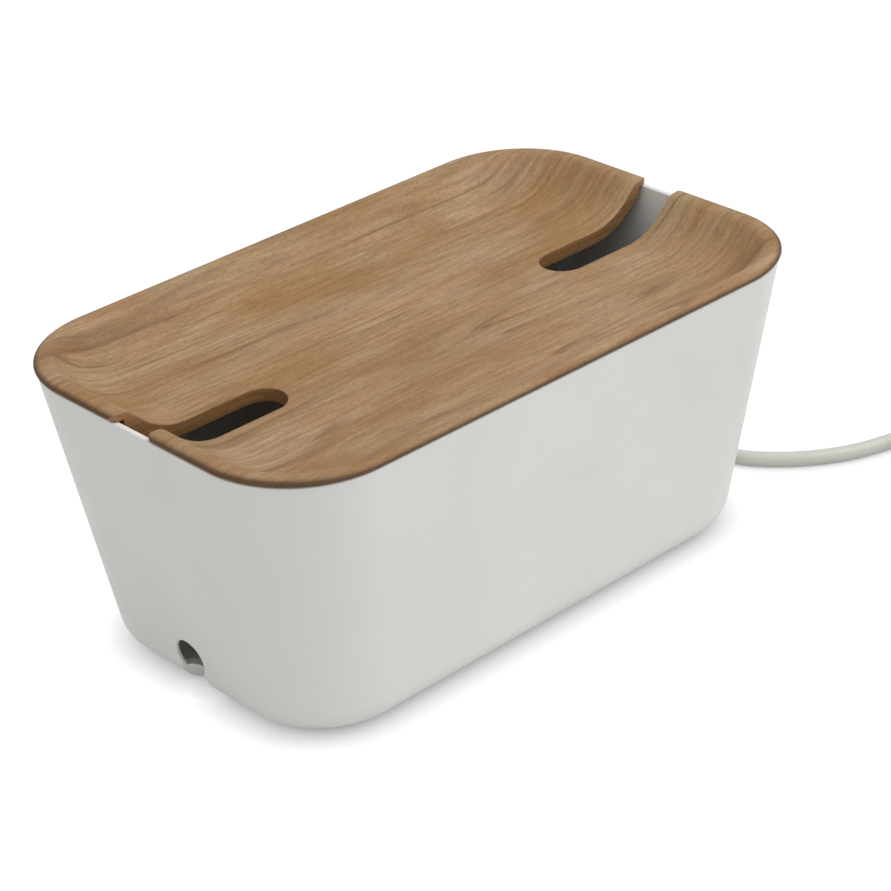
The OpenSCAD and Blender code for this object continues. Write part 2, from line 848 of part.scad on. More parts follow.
// Three wires from the lead's inner end to the contact bars
module wires() {
    z = rib_z + bar_t + wire_r;
    bar_end = socket_x(sockets - 1) + bar_tail - wire_on_bar;
    earth_end = socket_x(sockets - 1) + earth_arm_in + earth_tail - wire_on_earth;
    for (s = [-1, 1])
        color(s > 0 ? [0.45, 0.28, 0.15] : [0.2, 0.35, 0.65])
            wire([bar_end, strip_y + s * pin_pitch / 2, z],
                [stub_start, strip_y + 2 * s * wire_r, split_z]);
    color([0.6, 0.7, 0.2])
        wire([earth_end, strip_y, z], [stub_start, strip_y, split_z - 2 * wire_r]);
}

// A wire lies on its bar, rises past the switch and turns level into the lead
module wire(from, to) {
    level = 2;
    bend = 3;
    rise_at = [switch_x - wire_rise, from[1], from[2]];
    lean = unit(to - [level + bend, 0, 0] - rise_at);
    tube([from, rise_at - [bend, 0, 0], rise_at + bend * lean,
        to - [level + bend, 0, 0], to - [level, 0, 0], to], wire_r);
}

module cord_inner() {
    color([0.85, 0.85, 0.83])
        lead_bore(lead_r, stub_start, relief_end - stub_start);
}

// Tube along a route, with flat ends
tube_sides = 10;
function unit(v) = v / norm(v);
function heading(p, i) = unit(p[min(i + 1, len(p) - 1)] - p[max(i - 1, 0)]);
function tube_ring(p, i, r) =
    let (t = heading(p, i), side = unit(cross([0, 0, 1], t)), up = cross(t, side))
    [for (k = [0:tube_sides - 1])
        let (a = 360 * k / tube_sides)
        p[i] + r * (cos(a) * side + sin(a) * up)];

module tube(route, r) {
    ring_stack([for (i = [len(route) - 1:-1:0]) tube_ring(route, i, r)]);
}

module mains_cord() {
    color([0.85, 0.85, 0.83])
        tube(lead_route, lead_r);
}

module cord_tail() {
    color([0.85, 0.85, 0.83])
        tube(tail_route, lead_r);
}

module cord_coil() {
    color([0.85, 0.85, 0.83])
        translate([coil_at[0], coil_at[1], 0])
            rotate_extrude()
                translate([coil_inner - lead_r, 0])
                    square([coil_outer - coil_inner + lead_d, coil_layers * lead_d]);
}

// Strap round the coil, on its side away from the box
module coil_tie() {
    in_r = coil_inner - lead_r;
    out_r = coil_outer + lead_r;
    coil_h = coil_layers * lead_d;
    color([0.15, 0.15, 0.15])
        translate([coil_at[0], coil_at[1], 0])
            intersection() {
                translate([0, -tie_w / 2, 0])
                    cube([out_r + 2 * tie_t, tie_w, coil_h + tie_t]);
                rotate_extrude()
                    polygon([[in_r - tie_t, 0], [in_r, 0], [in_r, coil_h], [out_r, coil_h],
                        [out_r, 0], [out_r + tie_t, 0], [out_r + tie_t, coil_h + tie_t],
                        [in_r - tie_t, coil_h + tie_t]]);
            }
}

// Plug
module at_plug() {
    translate([tail_end[0], tail_end[1], 0])
        rotate(plug_turn)
            translate([-plug_reach, 0, 0])
                children();
}

// Round body with grip notches in line with the pins, a groove at each side for an
// earth spring, and a tapered sleeve towards the lead
module plug_body() {
    sleeve_in = 3;
    color([0.85, 0.85, 0.83])
        at_plug() {
            difference() {
                cylinder(r = plug_r, h = plug_h);
                for (s = [-1, 1]) {
                    translate([s * plug_r - plug_notch_t, -plug_notch_w / 2,
                        plug_h - plug_notch_l])
                        cube([2 * plug_notch_t, plug_notch_w, plug_notch_l + past]);
                    translate([-plug_groove_w / 2, s * plug_r - plug_groove_t,
                        plug_h - plug_groove_l])
                        cube([plug_groove_w, 2 * plug_groove_t, plug_groove_l + past]);
                    translate([s * pin_pitch / 2, 0, plug_h - pin_root_l])
                        cylinder(r = pin_root_r, h = pin_root_l + past);
                }
            }
            translate([plug_r - sleeve_in, 0, plug_lead_z])
                rotate([0, 90, 0])
                    cylinder(r1 = plug_lead_z - fit_gap, r2 = lead_r + plug_relief_wall,
                        h = plug_relief_l + sleeve_in);
        }
}

// Each pin has a narrow root in the body and a tapered tip
module plug_pins() {
    color([0.8, 0.8, 0.8])
        at_plug()
            for (s = [-1, 1])
                translate([s * pin_pitch / 2, 0, plug_h]) {
                    translate([0, 0, -pin_root_l])
                        cylinder(r = pin_root_r, h = pin_root_l + eps);
                    cylinder(r = plug_pin_r, h = plug_pin_l - pin_tip);
                    translate([0, 0, plug_pin_l - pin_tip])
                        cylinder(r1 = plug_pin_r, r2 = pin_tip_r, h = pin_tip);
                }
}

module plug_earth() {
    spring_w = plug_groove_w - 4 * fit_gap;
    spring_l = plug_groove_l - past;
    color([0.75, 0.75, 0.72])
        at_plug()
            for (m = [0, 1])
                mirror([0, m, 0])
                    translate([-spring_w / 2, plug_r - plug_groove_t, plug_h - plug_groove_l])
                        cube([spring_w, bar_t, spring_l]);
}

tub();
feet();
lid();
strip_base();
strip_cover();
socket_1();
socket_2();
socket_3();
socket_4();
live_bar();
neutral_bar();
earth_bar();
switch_frame();
switch_rocker();
switch_lamp();
switch_contacts();
cord_clamp();
clamp_screws();
cover_screws();
strip_pads();
strain_relief();
wires();
cord_inner();
mains_cord();
cord_coil();
coil_tie();
cord_tail();
plug_body();
plug_pins();
plug_earth();
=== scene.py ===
# A cable management box: a leaning-walled tub with a dished, slotted wooden lid, the power
# strip inside it, and the strip's mains lead, which leaves low in one end and lies coiled
# beside the box. Lengths are in metres and angles in degrees, unless a name says otherwise.
import math

import bmesh
import bpy
from mathutils import Matrix, Vector


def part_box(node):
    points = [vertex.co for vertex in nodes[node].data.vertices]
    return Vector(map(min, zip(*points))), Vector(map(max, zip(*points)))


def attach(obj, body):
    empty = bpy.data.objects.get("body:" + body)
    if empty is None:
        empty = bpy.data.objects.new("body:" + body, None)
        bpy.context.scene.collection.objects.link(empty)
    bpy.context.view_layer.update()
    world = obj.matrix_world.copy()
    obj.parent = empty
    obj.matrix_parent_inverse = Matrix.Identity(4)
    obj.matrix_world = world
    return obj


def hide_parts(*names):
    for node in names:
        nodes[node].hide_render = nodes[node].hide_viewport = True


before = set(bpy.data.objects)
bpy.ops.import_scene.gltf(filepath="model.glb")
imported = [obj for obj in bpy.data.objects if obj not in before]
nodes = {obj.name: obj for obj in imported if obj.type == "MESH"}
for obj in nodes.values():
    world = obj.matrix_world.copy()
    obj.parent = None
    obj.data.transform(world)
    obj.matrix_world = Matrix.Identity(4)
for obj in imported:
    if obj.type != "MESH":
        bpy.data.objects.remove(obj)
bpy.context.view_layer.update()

move = Matrix.Translation
MM = 0.001

# Sizes that drive the lid and the tub
lid_low, lid_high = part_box("lid")
tub_low, tub_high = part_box("tub")
box_l = lid_high.x - lid_low.x
box_w = lid_high.y - lid_low.y
box_h = lid_high.z
across = box_l - box_w
lid_corner_r = 46.5 * MM
base_corner_r = 39 * MM
wall_lean = 8.2
base_edge_r = 14 * MM
wall_t = 2.6 * MM
floor_t = 3 * MM
lid_t = 6.2 * MM
dish_depth = 15.2 * MM
dish_r = 32 * MM
dish_slope = 43
crest_r = 6 * MM
rim_land = 0.8 * MM
lid_round_w = 4.4 * MM
lid_round_h = 2 * MM
lid_edge_h = 2.4 * MM
lid_edge_break = 0.3 * MM
lid_overhang = 0.8 * MM
shadow_in = 1.8 * MM
slot_w = 21 * MM
slot_len = 76.5 * MM
mouth_r = 3.4 * MM
lid_gap = 0.3 * MM
outlet_r = 8.6 * MM
outlet_z = 18.6 * MM
gutter_r = 8.8 * MM
gutter_slope = 52
corner_steps = 28

# Sizes of the strip and its lead
strip_y = 4 * MM
strip_wall = 2 * MM
strip_corner_r = 9 * MM
strip_edge_r = 2 * MM
well_r = 19.5 * MM
socket_pitch = 43 * MM
pin_pitch = 19 * MM
switch_at = (72 * MM, strip_y, 38.6 * MM)
lead_r = 3.5 * MM
sleeve_length = 26 * MM
plug_r = 18.5 * MM
plug_h = 26 * MM


# Small helpers
def sin(degrees):
    return math.sin(math.radians(degrees))


def cos(degrees):
    return math.cos(math.radians(degrees))


def tan(degrees):
    return math.tan(math.radians(degrees))


def steps(first, last, count):
    """Values from first to last, in that many equal steps."""
    return [first + (last - first) * i / count for i in range(count + 1)]


def rounding(radius, count, first=0, last=90, rise=None):
    """Points round an edge, as (in from the one side, in from the other), through an arc that
    goes from first to last degrees. With a rise, the arc is an ellipse that high."""
    rise = radius if rise is None else rise
    return [(radius * (1 - sin(a)), rise * (1 - cos(a))) for a in steps(first, last, count)]


def spin(degrees, axis):
    return Matrix.Rotation(math.radians(degrees), 4, axis)


def stand(name, data):
    """An object of that data, in the scene."""
    made = bpy.data.objects.new(name, data)
    bpy.context.scene.collection.objects.link(made)
    return made


def paint(red, green, blue):
    """A colour given as it looks on a screen, 0 to 255, as the shaders read it."""
    parts = [v / 255 for v in (red, green, blue)]
    return (*(v / 12.92 if v <= 0.04045 else ((v + 0.055) / 1.055) ** 2.4 for v in parts), 1)


# Camera: turn and height as seen from the box, then its lean, and how far it stands off
camera_turn = -41.805
camera_height = 28.966
camera_roll = -3.217
camera_far = 1.22647
camera_aside = 0.00539
camera_above = 0.05428
picture_px = 891
focal_px = 2773.8
sensor = 36


def place_camera():
    back = Vector((
        sin(camera_turn) * cos(camera_height),
        -cos(camera_turn) * cos(camera_height),
        sin(camera_height),
    ))
    level = Vector((cos(camera_turn), sin(camera_turn), 0))
    upright = back.cross(level)
    right = cos(camera_roll) * level + sin(camera_roll) * upright
    up = cos(camera_roll) * upright - sin(camera_roll) * level
    data = bpy.data.cameras.new("camera")
    data.sensor_width = sensor
    data.lens = focal_px * sensor / picture_px
    data.clip_end = 50
    camera = stand("camera", data)
    turn = Matrix((right, up, back)).transposed().to_4x4()
    place = camera_aside * right + camera_above * up + camera_far * back
    camera.matrix_world = move(place) @ turn
    bpy.context.scene.camera = camera


place_camera()


# Node helpers
def put(tree, kind, inputs=None, **settings):
    """A node of that kind, with its settings made and its inputs set or linked. Its own
    family of nodes comes first, such as GeometryNode, and the shaders' serves for the rest."""
    own = tree.bl_idname.removesuffix("Tree") + kind
    node = tree.nodes.new(own if hasattr(bpy.types, own) else "ShaderNode" + kind)
    for name, value in settings.items():
        setattr(node, name, value)
    for name, value in (inputs or {}).items():
        feed(value, node.inputs[name])
    return node


def feed(value, socket):
    """Links a socket, or a node's first output, or each of a list of them, to a socket, or
    sets a plain value as the socket's own."""
    for one in value if isinstance(value, list) else [value]:
        if isinstance(one, bpy.types.Node):
            one = one.outputs[0]
        if isinstance(one, bpy.types.NodeSocket):
            socket.id_data.links.new(one, socket)
        else:
            socket.default_value = one


def new_tree(name, kind, inputs, outputs):
    """A node group and its sockets, each a name, for a number, or a name and its kind."""
    tree = bpy.data.node_groups.new(name, kind)
    for direction, listed in (("INPUT", inputs), ("OUTPUT", outputs)):
        for one in listed:
            label, sort = (one, "Float") if isinstance(one, str) else one
            tree.interface.new_socket(label, in_out=direction, socket_type="NodeSocket" + sort)
    given = tree.nodes.new("NodeGroupInput").outputs
    return tree, given, tree.nodes.new("NodeGroupOutput").inputs


def sums(tree, operation, first, second=0.0, third=0.0, clamp=False):
    """One step of arithmetic on values."""
    return put(tree, "Math", {0: first, 1: second, 2: third}, operation=operation, use_clamp=clamp)


def vectors(tree, operation, first, second, result="Vector"):
    """One step of arithmetic on vectors."""
    return put(tree, "VectorMath", {0: first, 1: second}, operation=operation).outputs[result]


def combined(tree, kind, **parts):
    """A vector or a colour put together from its parts."""
    return put(tree, "Combine" + kind, parts)


def spread(tree, value, low, high, to_low=0.0, to_high=1.0):
    """value as it goes from low to high, told as a number that goes from to_low to to_high."""
    return put(tree, "MapRange", {
        "Value": value, "From Min": low, "From Max": high, "To Min": to_low, "To Max": to_high})


def blend_colour(tree, amount, first, second, way="MIX"):
    node = put(tree, "Mix", data_type="RGBA", blend_type=way)
    for index, value in ((0, amount), (6, first), (7, second)):
        feed(value, node.inputs[index])
    return node.outputs[2]


def lay_over(tree, tone, mask, colour, share=1.0):
    """Lays a colour over a tone where the mask is, share of it strong."""
    amount = mask if share == 1.0 else sums(tree, "MULTIPLY", mask, share)
    return blend_colour(tree, amount, tone, paint(*colour))


def noise(tree, vector, stretch, detail=2.0, rough=0.5):
    """Cloudy noise whose spots are 1/stretch metres apart, along x, y and z."""
    return put(tree, "TexNoise", {
        "Vector": vectors(tree, "MULTIPLY", vector, stretch), "Scale": 1.0,
        "Detail": detail, "Roughness": rough}).outputs["Fac"]


# Surface effects that several finishes share
def make_moulded_skin():
    """Fine grain of a moulded surface, and the slow unevenness of its gloss."""
    tree, given, made = new_tree(
        "moulded_skin", "ShaderNodeTree", [("Vector", "Vector"), "Grain"], ["Height", "Cloud"])
    grain = put(tree, "TexNoise", {
        "Vector": given["Vector"], "Scale": given["Grain"], "Detail": 3.0, "Roughness": 0.6})
    cloud = noise(tree, given["Vector"], (22, 22, 22), 3.0)
    feed(grain.outputs["Fac"], made["Height"])
    feed(spread(tree, cloud, 0.3, 0.7), made["Cloud"])
    return tree


def make_fine_scratches():
    """A mask of a few hairline scratches, long one way."""
    tree, given, made = new_tree(
        "fine_scratches", "ShaderNodeTree", [("Vector", "Vector"), "Amount"], ["Mask"])
    lines = spread(tree, noise(tree, given["Vector"], (25, 900, 300), 2.0), 0.62, 0.68)
    patches = spread(tree, noise(tree, given["Vector"], (18, 18, 18), 1.0), 0.5, 0.62)
    both = sums(tree, "MULTIPLY", lines, patches, clamp=True)
    feed(sums(tree, "MULTIPLY", both, given["Amount"]), made["Mask"])
    return tree


def make_wood_figure():
    """Figure of a fine veneer whose grain runs along X, and follows the pressed shape up and
    down: slow clouds, broken growth lines, streaks, dashes and pores, each from 0 to 1."""
    tree, given, made = new_tree("wood_figure", "ShaderNodeTree", [("Vector", "Vector")], [
        "Clouds", "Warmth", "Rings", "Streaks", "Dashes", "Pores"])
    wander = noise(tree, given["Vector"], (6, 18, 4), 1.0)
    aside = combined(tree, "XYZ", Y=sums(tree, "MULTIPLY_ADD", wander, 0.008, -0.004))
    line = vectors(tree, "ADD", given["Vector"], aside)
    growth = sums(tree, "FRACT", sums(
        tree, "MULTIPLY", noise(tree, line, (2.2, 30, 3), 1.0, 0.4), 10.0))
    late = spread(tree, growth, 0.0, 0.16, 1.0, 0.0)
    early = spread(tree, growth, 0.93, 1.0)
    broken = spread(tree, noise(tree, line, (12, 110, 12), 2.0), 0.46, 0.64)
    rings = sums(tree, "MULTIPLY", sums(tree, "MAXIMUM", late, early), broken)
    feed(rings, made["Rings"])
    for name, stretch, detail, rough, low, high in (
            ("Clouds", (13, 44, 6), 2.0, 0.5, 0.36, 0.64),
            ("Warmth", (20, 60, 8), 2.0, 0.5, 0.44, 0.66),
            ("Streaks", (38, 520, 40), 3.0, 0.6, 0.38, 0.64),
            ("Dashes", (300, 2100, 300), 2.0, 0.6, 0.36, 0.64),
            ("Pores", (330, 2300, 330), 1.0, 0.5, 0.6, 0.74)):
        feed(spread(tree, noise(tree, line, stretch, detail, rough), low, high), made[name])
    return tree


moulded_skin = make_moulded_skin()
fine_scratches = make_fine_scratches()
wood_figure = make_wood_figure()


# Finishes
def finish(name, **own):
    """A material, its nodes and its place on the object; own sets its shader's own sockets."""
    material = bpy.data.materials.new(name)
    material.use_nodes = True
    tree = material.node_tree
    for label, value in own.items():
        feed(value, tree.nodes["Principled BSDF"].inputs[label.replace("_", " ")])
    return material, tree, tree.nodes.new("ShaderNodeTexCoord").outputs["Object"]


def surface(material, tone, rough, height, distance, strength=1.0):
    """Feeds a finish its colour, its roughness if that varies, and the height of its relief."""
    tree = material.node_tree
    shader = tree.nodes["Principled BSDF"]
    feed(tone, shader.inputs["Base Color"])
    if rough:
        feed(rough, shader.inputs["Roughness"])
    feed(put(tree, "Bump", {
        "Height": height, "Distance": distance, "Strength": strength}), shader.inputs["Normal"])
    return material


def group(tree, made_group, **inputs):
    return put(tree, "Group", inputs, node_tree=made_group).outputs


def moulded(name, colour, shade, rough, grain=2600.0, depth=0.00003, scratches=0.3, **own):
    """Moulded plastic: a little cloud in its colour and gloss, fine grain, faint scratches."""
    material, tree, place = finish(name, **own)
    skin = group(tree, moulded_skin, Vector=place, Grain=grain)
    marks = group(tree, fine_scratches, Vector=place, Amount=scratches)
    tone = blend_colour(tree, skin["Cloud"], paint(*colour), paint(*shade))
    gloss = spread(tree, skin["Cloud"], 0.0, 1.0, rough - 0.04, rough + 0.05)
    gloss = sums(tree, "ADD", gloss, marks["Mask"], clamp=True)
    return surface(material, tone, gloss, skin["Height"], depth)


def lid_side_painted_shade(tree, place):
    """How far the lid's rounded rim has turned outwards, where its outer side is painted darker as
    shade.
    """
    normal = put(tree, "NewGeometry").outputs["Normal"]
    level = vectors(tree, "MULTIPLY", place, (1, 1, 0))
    return spread(
        tree, vectors(tree, "DOT_PRODUCT", normal, level, "Value"), 0.03, 0.09, 0.0, 0.85)


def make_lid_wood():
    """Satin-lacquered veneer: ochre with pinkish clouds, fine darker streaks and dashes, and
    painted shade on the rim's outer side.
    """
    material, tree, place = finish("lid_wood", Specular_IOR_Level=0.3)
    wood = group(tree, wood_figure, Vector=place)
    tone = blend_colour(tree, wood["Clouds"], paint(161, 124, 80), paint(180, 152, 117))
    tone = lay_over(tree, tone, wood["Warmth"], (172, 126, 86), 0.45)
    tone = lay_over(tree, tone, wood["Streaks"], (132, 101, 66), 0.55)
    tone = lay_over(tree, tone, wood["Rings"], (116, 84, 50), 0.7)
    dash = spread(tree, wood["Dashes"], 0.0, 1.0, 0.86, 1.12)
    dash_tone = combined(tree, "Color", Red=dash, Green=dash, Blue=dash)
    tone = blend_colour(tree, 1.0, tone, dash_tone, "MULTIPLY")
    tone = lay_over(tree, tone, wood["Pores"], (104, 74, 46), 0.4)
    # Painted shade: the rim's outer side, turned away from the light, is darkened in its colour.
    tone = lay_over(tree, tone, lid_side_painted_shade(tree, place), (78, 51, 31))
    rough = spread(tree, wood["Dashes"], 0.0, 1.0, 0.46, 0.6)
    depth = sums(tree, "SUBTRACT", sums(tree, "MULTIPLY", wood["Dashes"], 0.4), wood["Pores"])
    return surface(material, tone, rough, depth, 0.00005, 0.5)


def make_lid_cut():
    """Cut side of the pressed lid: its thin plies lie one on the other, and its ends at the
    rim, where the stain soaks in, are redder."""
    material, tree, place = finish("lid_cut_edge")
    plies = noise(tree, place, (30, 60, 1500), 1.0)
    flecks = noise(tree, place, (500, 500, 900), 2.0)
    height = put(tree, "SeparateXYZ", {0: place}).outputs["Z"]
    at_rim = spread(tree, height, box_h - 9 * MM, box_h - 2 * MM, 0.0, 0.6)
    tone = blend_colour(
        tree, spread(tree, plies, 0.42, 0.6), paint(124, 90, 52), paint(143, 106, 64))
    tone = lay_over(tree, tone, spread(tree, flecks, 0.5, 0.75, 0.0, 0.5), (96, 67, 36))
    tone = lay_over(tree, tone, at_rim, (170, 118, 88))
    rough = spread(tree, flecks, 0.3, 0.7, 0.45, 0.65)
    return surface(material, tone, rough, plies, 0.0001, 0.5)


def brushed(name, colour, shade, rough):
    """Sheet metal with fine rolling lines along X and a little tarnish."""
    material, tree, place = finish(name, Metallic=1.0)
    lines = noise(tree, place, (60, 2500, 2500), 2.0)
    tarnish = spread(tree, noise(tree, place, (90, 90, 90), 3.0), 0.4, 0.7)
    tone = blend_colour(tree, tarnish, paint(*colour), paint(*shade))
    gloss = spread(tree, lines, 0.3, 0.7, rough - 0.06, rough + 0.1)
    return surface(material, tone, gloss, lines, 0.00002, 0.6)


def make_wire_insulation():
    """Brown on one side, blue on the other and green with a yellow stripe between them."""
    material, tree, place = finish("wire_insulation", Roughness=0.4)
    across = put(tree, "SeparateXYZ", {0: place}).outputs["Y"]
    stripe = sums(tree, "GREATER_THAN", noise(tree, place, (80, 900, 900), 0.0), 0.5)
    is_live = sums(tree, "GREATER_THAN", across, strip_y + 1.2 * MM)
    is_neutral = sums(tree, "LESS_THAN", across, strip_y - 1.2 * MM)
    tone = blend_colour(tree, stripe, paint(60, 140, 60), paint(225, 205, 60))
    tone = lay_over(tree, tone, is_live, (112, 70, 42))
    tone = lay_over(tree, tone, is_neutral, (50, 90, 170))
    skin = group(tree, moulded_skin, Vector=place, Grain=3000.0)
    return surface(material, tone, None, skin["Height"], 0.00002)


def make_tie_cloth():
    """Hook-and-loop strap: short loops that catch a soft light at their tips."""
    material, tree, place = finish(
        "tie_cloth", Roughness=0.95, Sheen_Weight=0.35, Sheen_Roughness=0.5)
    loops = put(tree, "TexVoronoi", {"Vector": place, "Scale": 1900.0}).outputs["Distance"]
    lint = noise(tree, place, (700, 700, 700), 3.0)
    tone = blend_colour(tree, spread(tree, loops, 0.1, 0.7), paint(52, 52, 54), paint(16, 16, 17))
    tone = lay_over(tree, tone, spread(tree, lint, 0.62, 0.75, 0.0, 0.35), (96, 95, 92))
    return surface(material, tone, None, loops, 0.0003, 0.7)


tub_white = moulded("tub_white", (231, 231, 226), (228, 228, 223), 0.42)
foot_rubber = moulded("foot_rubber", (52, 52, 51), (64, 63, 61), 0.75, 1500.0, 0.00008, 0.1)
lid_wood = make_lid_wood()
lid_cut = make_lid_cut()
casing_white = moulded("casing_white", (232, 232, 228), (226, 226, 221), 0.34)
socket_white = moulded("socket_white", (226, 226, 221), (219, 219, 213), 0.3)
contact_brass = brushed("contact_brass", (214, 180, 108), (170, 130, 70), 0.3)
earth_metal = brushed("earth_metal", (205, 203, 198), (168, 164, 156), 0.32)
screw_steel = brushed("screw_steel", (200, 200, 202), (158, 157, 155), 0.3)
pin_nickel = brushed("pin_nickel", (218, 215, 208), (186, 182, 172), 0.16)
rocker_red = moulded(
    "rocker_red", (196, 30, 22), (182, 24, 18), 0.18, 2200.0, 0.00001, 0.2,
    Transmission_Weight=0.15, Coat_Weight=0.4, Coat_Roughness=0.1)
lamp_amber = moulded(
    "lamp_amber", (240, 150, 80), (230, 120, 60), 0.15, 900.0, 0.00001, 0.0,
    Transmission_Weight=0.4)
clamp_black = moulded("clamp_black", (48, 48, 49), (58, 58, 58), 0.5)
wire_insulation = make_wire_insulation()
cord_white = moulded("cord_white", (208, 208, 200), (201, 201, 193), 0.44, 1400.0, 0.00005, 0.15)
tie_cloth = make_tie_cloth()
plug_white = moulded("plug_white", (229, 229, 224), (221, 221, 215), 0.3)
shutter_grey = moulded("shutter_grey", (92, 92, 90), (80, 80, 79), 0.4)


# Mesh helpers
def new_piece(name, points, faces=(), material=None):
    """A new object. Without faces, its points are strung on one line."""
    edges = [] if faces else [(i, i + 1) for i in range(len(points) - 1)]
    mesh = bpy.data.meshes.new(name)
    mesh.from_pydata([tuple(p) for p in points], edges, faces)
    if material:
        mesh.materials.append(material)
    return stand(name, mesh)


def settle(piece):
    """Makes what the piece's modifiers give its own plain mesh."""
    bpy.context.view_layer.update()
    graph = bpy.context.evaluated_depsgraph_get()
    made = bpy.data.meshes.new_from_object(piece.evaluated_get(graph), depsgraph=graph)
    piece.modifiers.clear()
    piece.data = made


def combine(piece, other, operation="DIFFERENCE"):
    """Cuts other out of the piece, or joins it on, and removes other."""
    modifier = piece.modifiers.new("combine", "BOOLEAN")
    modifier.operation = operation
    modifier.solver = "EXACT"
    modifier.object = other
    settle(piece)
    bpy.data.objects.remove(other)


def shape_up(piece, change):
    """Runs change on the piece's mesh, opened for editing."""
    opened = bmesh.new()
    opened.from_mesh(piece.data)
    change(opened)
    opened.to_mesh(piece.data)
    opened.free()


def soften_edges(piece, wanted, width, segments=3):
    """Rounds the edges for which wanted(edge) is true."""
    def change(opened):
        chosen = [e for e in opened.edges if len(e.link_faces) == 2 and wanted(e)]
        bmesh.ops.bevel(
            opened, geom=chosen, offset=width, segments=segments, profile=0.5,
            affect="EDGES", clamp_overlap=False)
    shape_up(piece, change)


def coat(piece, material):
    """Gives the whole piece one finish."""
    piece.data.materials.clear()
    piece.data.materials.append(material)
    piece.data.polygons.foreach_set("material_index", [0] * len(piece.data.polygons))


def tidy_mesh(piece, reach=0.01 * MM):
    """Merges points that cuts have left side by side."""
    def change(opened):
        bmesh.ops.remove_doubles(opened, verts=opened.verts, dist=reach)
        bmesh.ops.dissolve_degenerate(opened, edges=opened.edges, dist=reach / 2)
    shape_up(piece, change)


def finish_piece(piece, body, replaced=(), sharp=35, material=None):
    """Smooth shading, with a sharp edge where faces meet at more than that angle, one finish
    all over if it is given, and what the piece rides on and stands for."""
    if material:
        coat(piece, material)
    piece.data.shade_smooth()
    piece.data.set_sharp_from_angle(angle=math.radians(sharp))
    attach(piece, body)
    if replaced:
        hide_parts(*replaced)
    return piece


def ring(length, width, radius, z, middle=(0, 0), end_steps=1):
    """Points of a rounded rectangle, anticlockwise from above, its ends split end_steps times."""
    points = []
    for quarter, (sx, sy) in enumerate(((1, 1), (-1, 1), (-1, -1), (1, -1))):
        x, y = sx * (length / 2 - radius), sy * (width / 2 - radius)
        for a in steps(90 * quarter, 90 * quarter + 90, corner_steps):
            points.append((middle[0] + x + radius * cos(a), middle[1] + y + radius * sin(a), z))
        if quarter in (1, 3):
            points += [(middle[0] + sx * length / 2, middle[1] + y - 2 * y * i / end_steps, z)
                       for i in range(1, end_steps)]
    return points


def ring_stack(name, rings, material=None, closed=False):
    """A solid through a list of rings, capped at both ends, or closed on itself."""
    count, last = len(rings[0]), len(rings) - 1
    faces = []
    for k in range(last + closed):
        here, after = k * count, (k + 1) % len(rings) * count
        faces += [(here + i, here + (i + 1) % count, after + (i + 1) % count, after + i)
                  for i in range(count)]
    if not closed:
        faces += [tuple(reversed(range(count))), tuple(last * count + i for i in range(count))]
    return new_piece(name, [p for r in rings for p in r], faces, material)


def turned(name, section, material=None, sides=64, matrix=None, closed=False):
    """A solid turned about Z from a section of (radius, height) points, going up. A closed
    section makes a ring, and goes anticlockwise with radius to the right."""
    rings = [[(r * cos(360 * i / sides), r * sin(360 * i / sides), z) for i in range(sides)]
             for r, z in section]
    piece = ring_stack(name, rings, material, closed)
    if matrix:
        piece.data.transform(matrix)
    return piece


def flared_cutter(name, radius, lip, low, face, high, sides, matrix=None):
    """A round cutter from low to high, flared by lip where it comes out at the face."""
    flare = [(radius + lip * (1 - cos(a)), face - lip + lip * sin(a)) for a in steps(15, 90, 5)]
    section = [(radius, low), (radius, face - lip), *flare, (radius + lip, high)]
    return turned(name, section, sides=sides, matrix=matrix)


def rod(name, radius, low, high, sides=64, matrix=None):
    return turned(name, [(radius, low), (radius, high)], sides=sides, matrix=matrix)


def block(name, low, high):
    return ring_stack(name, [
        [(low[0], low[1], z), (high[0], low[1], z), (high[0], high[1], z), (low[0], high[1], z)]
        for z in (low[2], high[2])])


# Geometry trees for what is swept or repeated
def geometry_tree(name, *inputs):
    """A tree that works on a piece, with those inputs and a material; end closes it, with its
    instances made real, and gives it."""
    shape = ("Geometry", "Geometry")
    tree, given, made = new_tree(
        name, "GeometryNodeTree", [shape, *inputs, ("Material", "Material")], [shape])

    def end(geometry):
        feed(put(tree, "SetMaterial", {
            "Geometry": put(tree, "RealizeInstances", {"Geometry": geometry}),
            "Material": given["Material"]}), made["Geometry"])
        return tree
    return tree, given, end


def grow(piece, tree, **values):
    """Runs a geometry tree on the piece, with its named inputs, and keeps the result."""
    modifier = piece.modifiers.new(tree.name, "NODES")
    modifier.node_group = tree
    for item in tree.interface.items_tree:
        label = item.name.replace(" ", "_")
        if item.in_out == "INPUT" and label in values:
            modifier[item.identifier] = values[label]
    settle(piece)


def make_rim_sweep():
    """Sweeps a section, given as a line of x outward and y down, round a rounded rectangle."""
    tree, given, end = geometry_tree(
        "rim_sweep", "Length", "Width", "Corner Radius", ("Corner Steps", "Int"))
    outline = put(tree, "CurvePrimitiveQuadrilateral", {
        "Width": given["Length"], "Height": given["Width"]})
    rounded = put(tree, "FilletCurve", {
        "Curve": outline, "Radius": given["Corner Radius"], "Count": given["Corner Steps"]},
        mode="POLY")
    section = put(tree, "MeshToCurve", {"Mesh": given["Geometry"]})
    return end(put(tree, "CurveToMesh", {"Curve": rounded, "Profile Curve": section}))


def make_lead_sweep():
    """Sweeps a round section along a line."""
    tree, given, end = geometry_tree("lead_sweep", "Radius", ("Sides", "Int"))
    line = put(tree, "MeshToCurve", {"Mesh": given["Geometry"]})
    section = put(tree, "CurvePrimitiveCircle", {
        "Radius": given["Radius"], "Resolution": given["Sides"]})
    return end(put(tree, "CurveToMesh", {
        "Curve": line, "Profile Curve": section, "Fill Caps": True}))


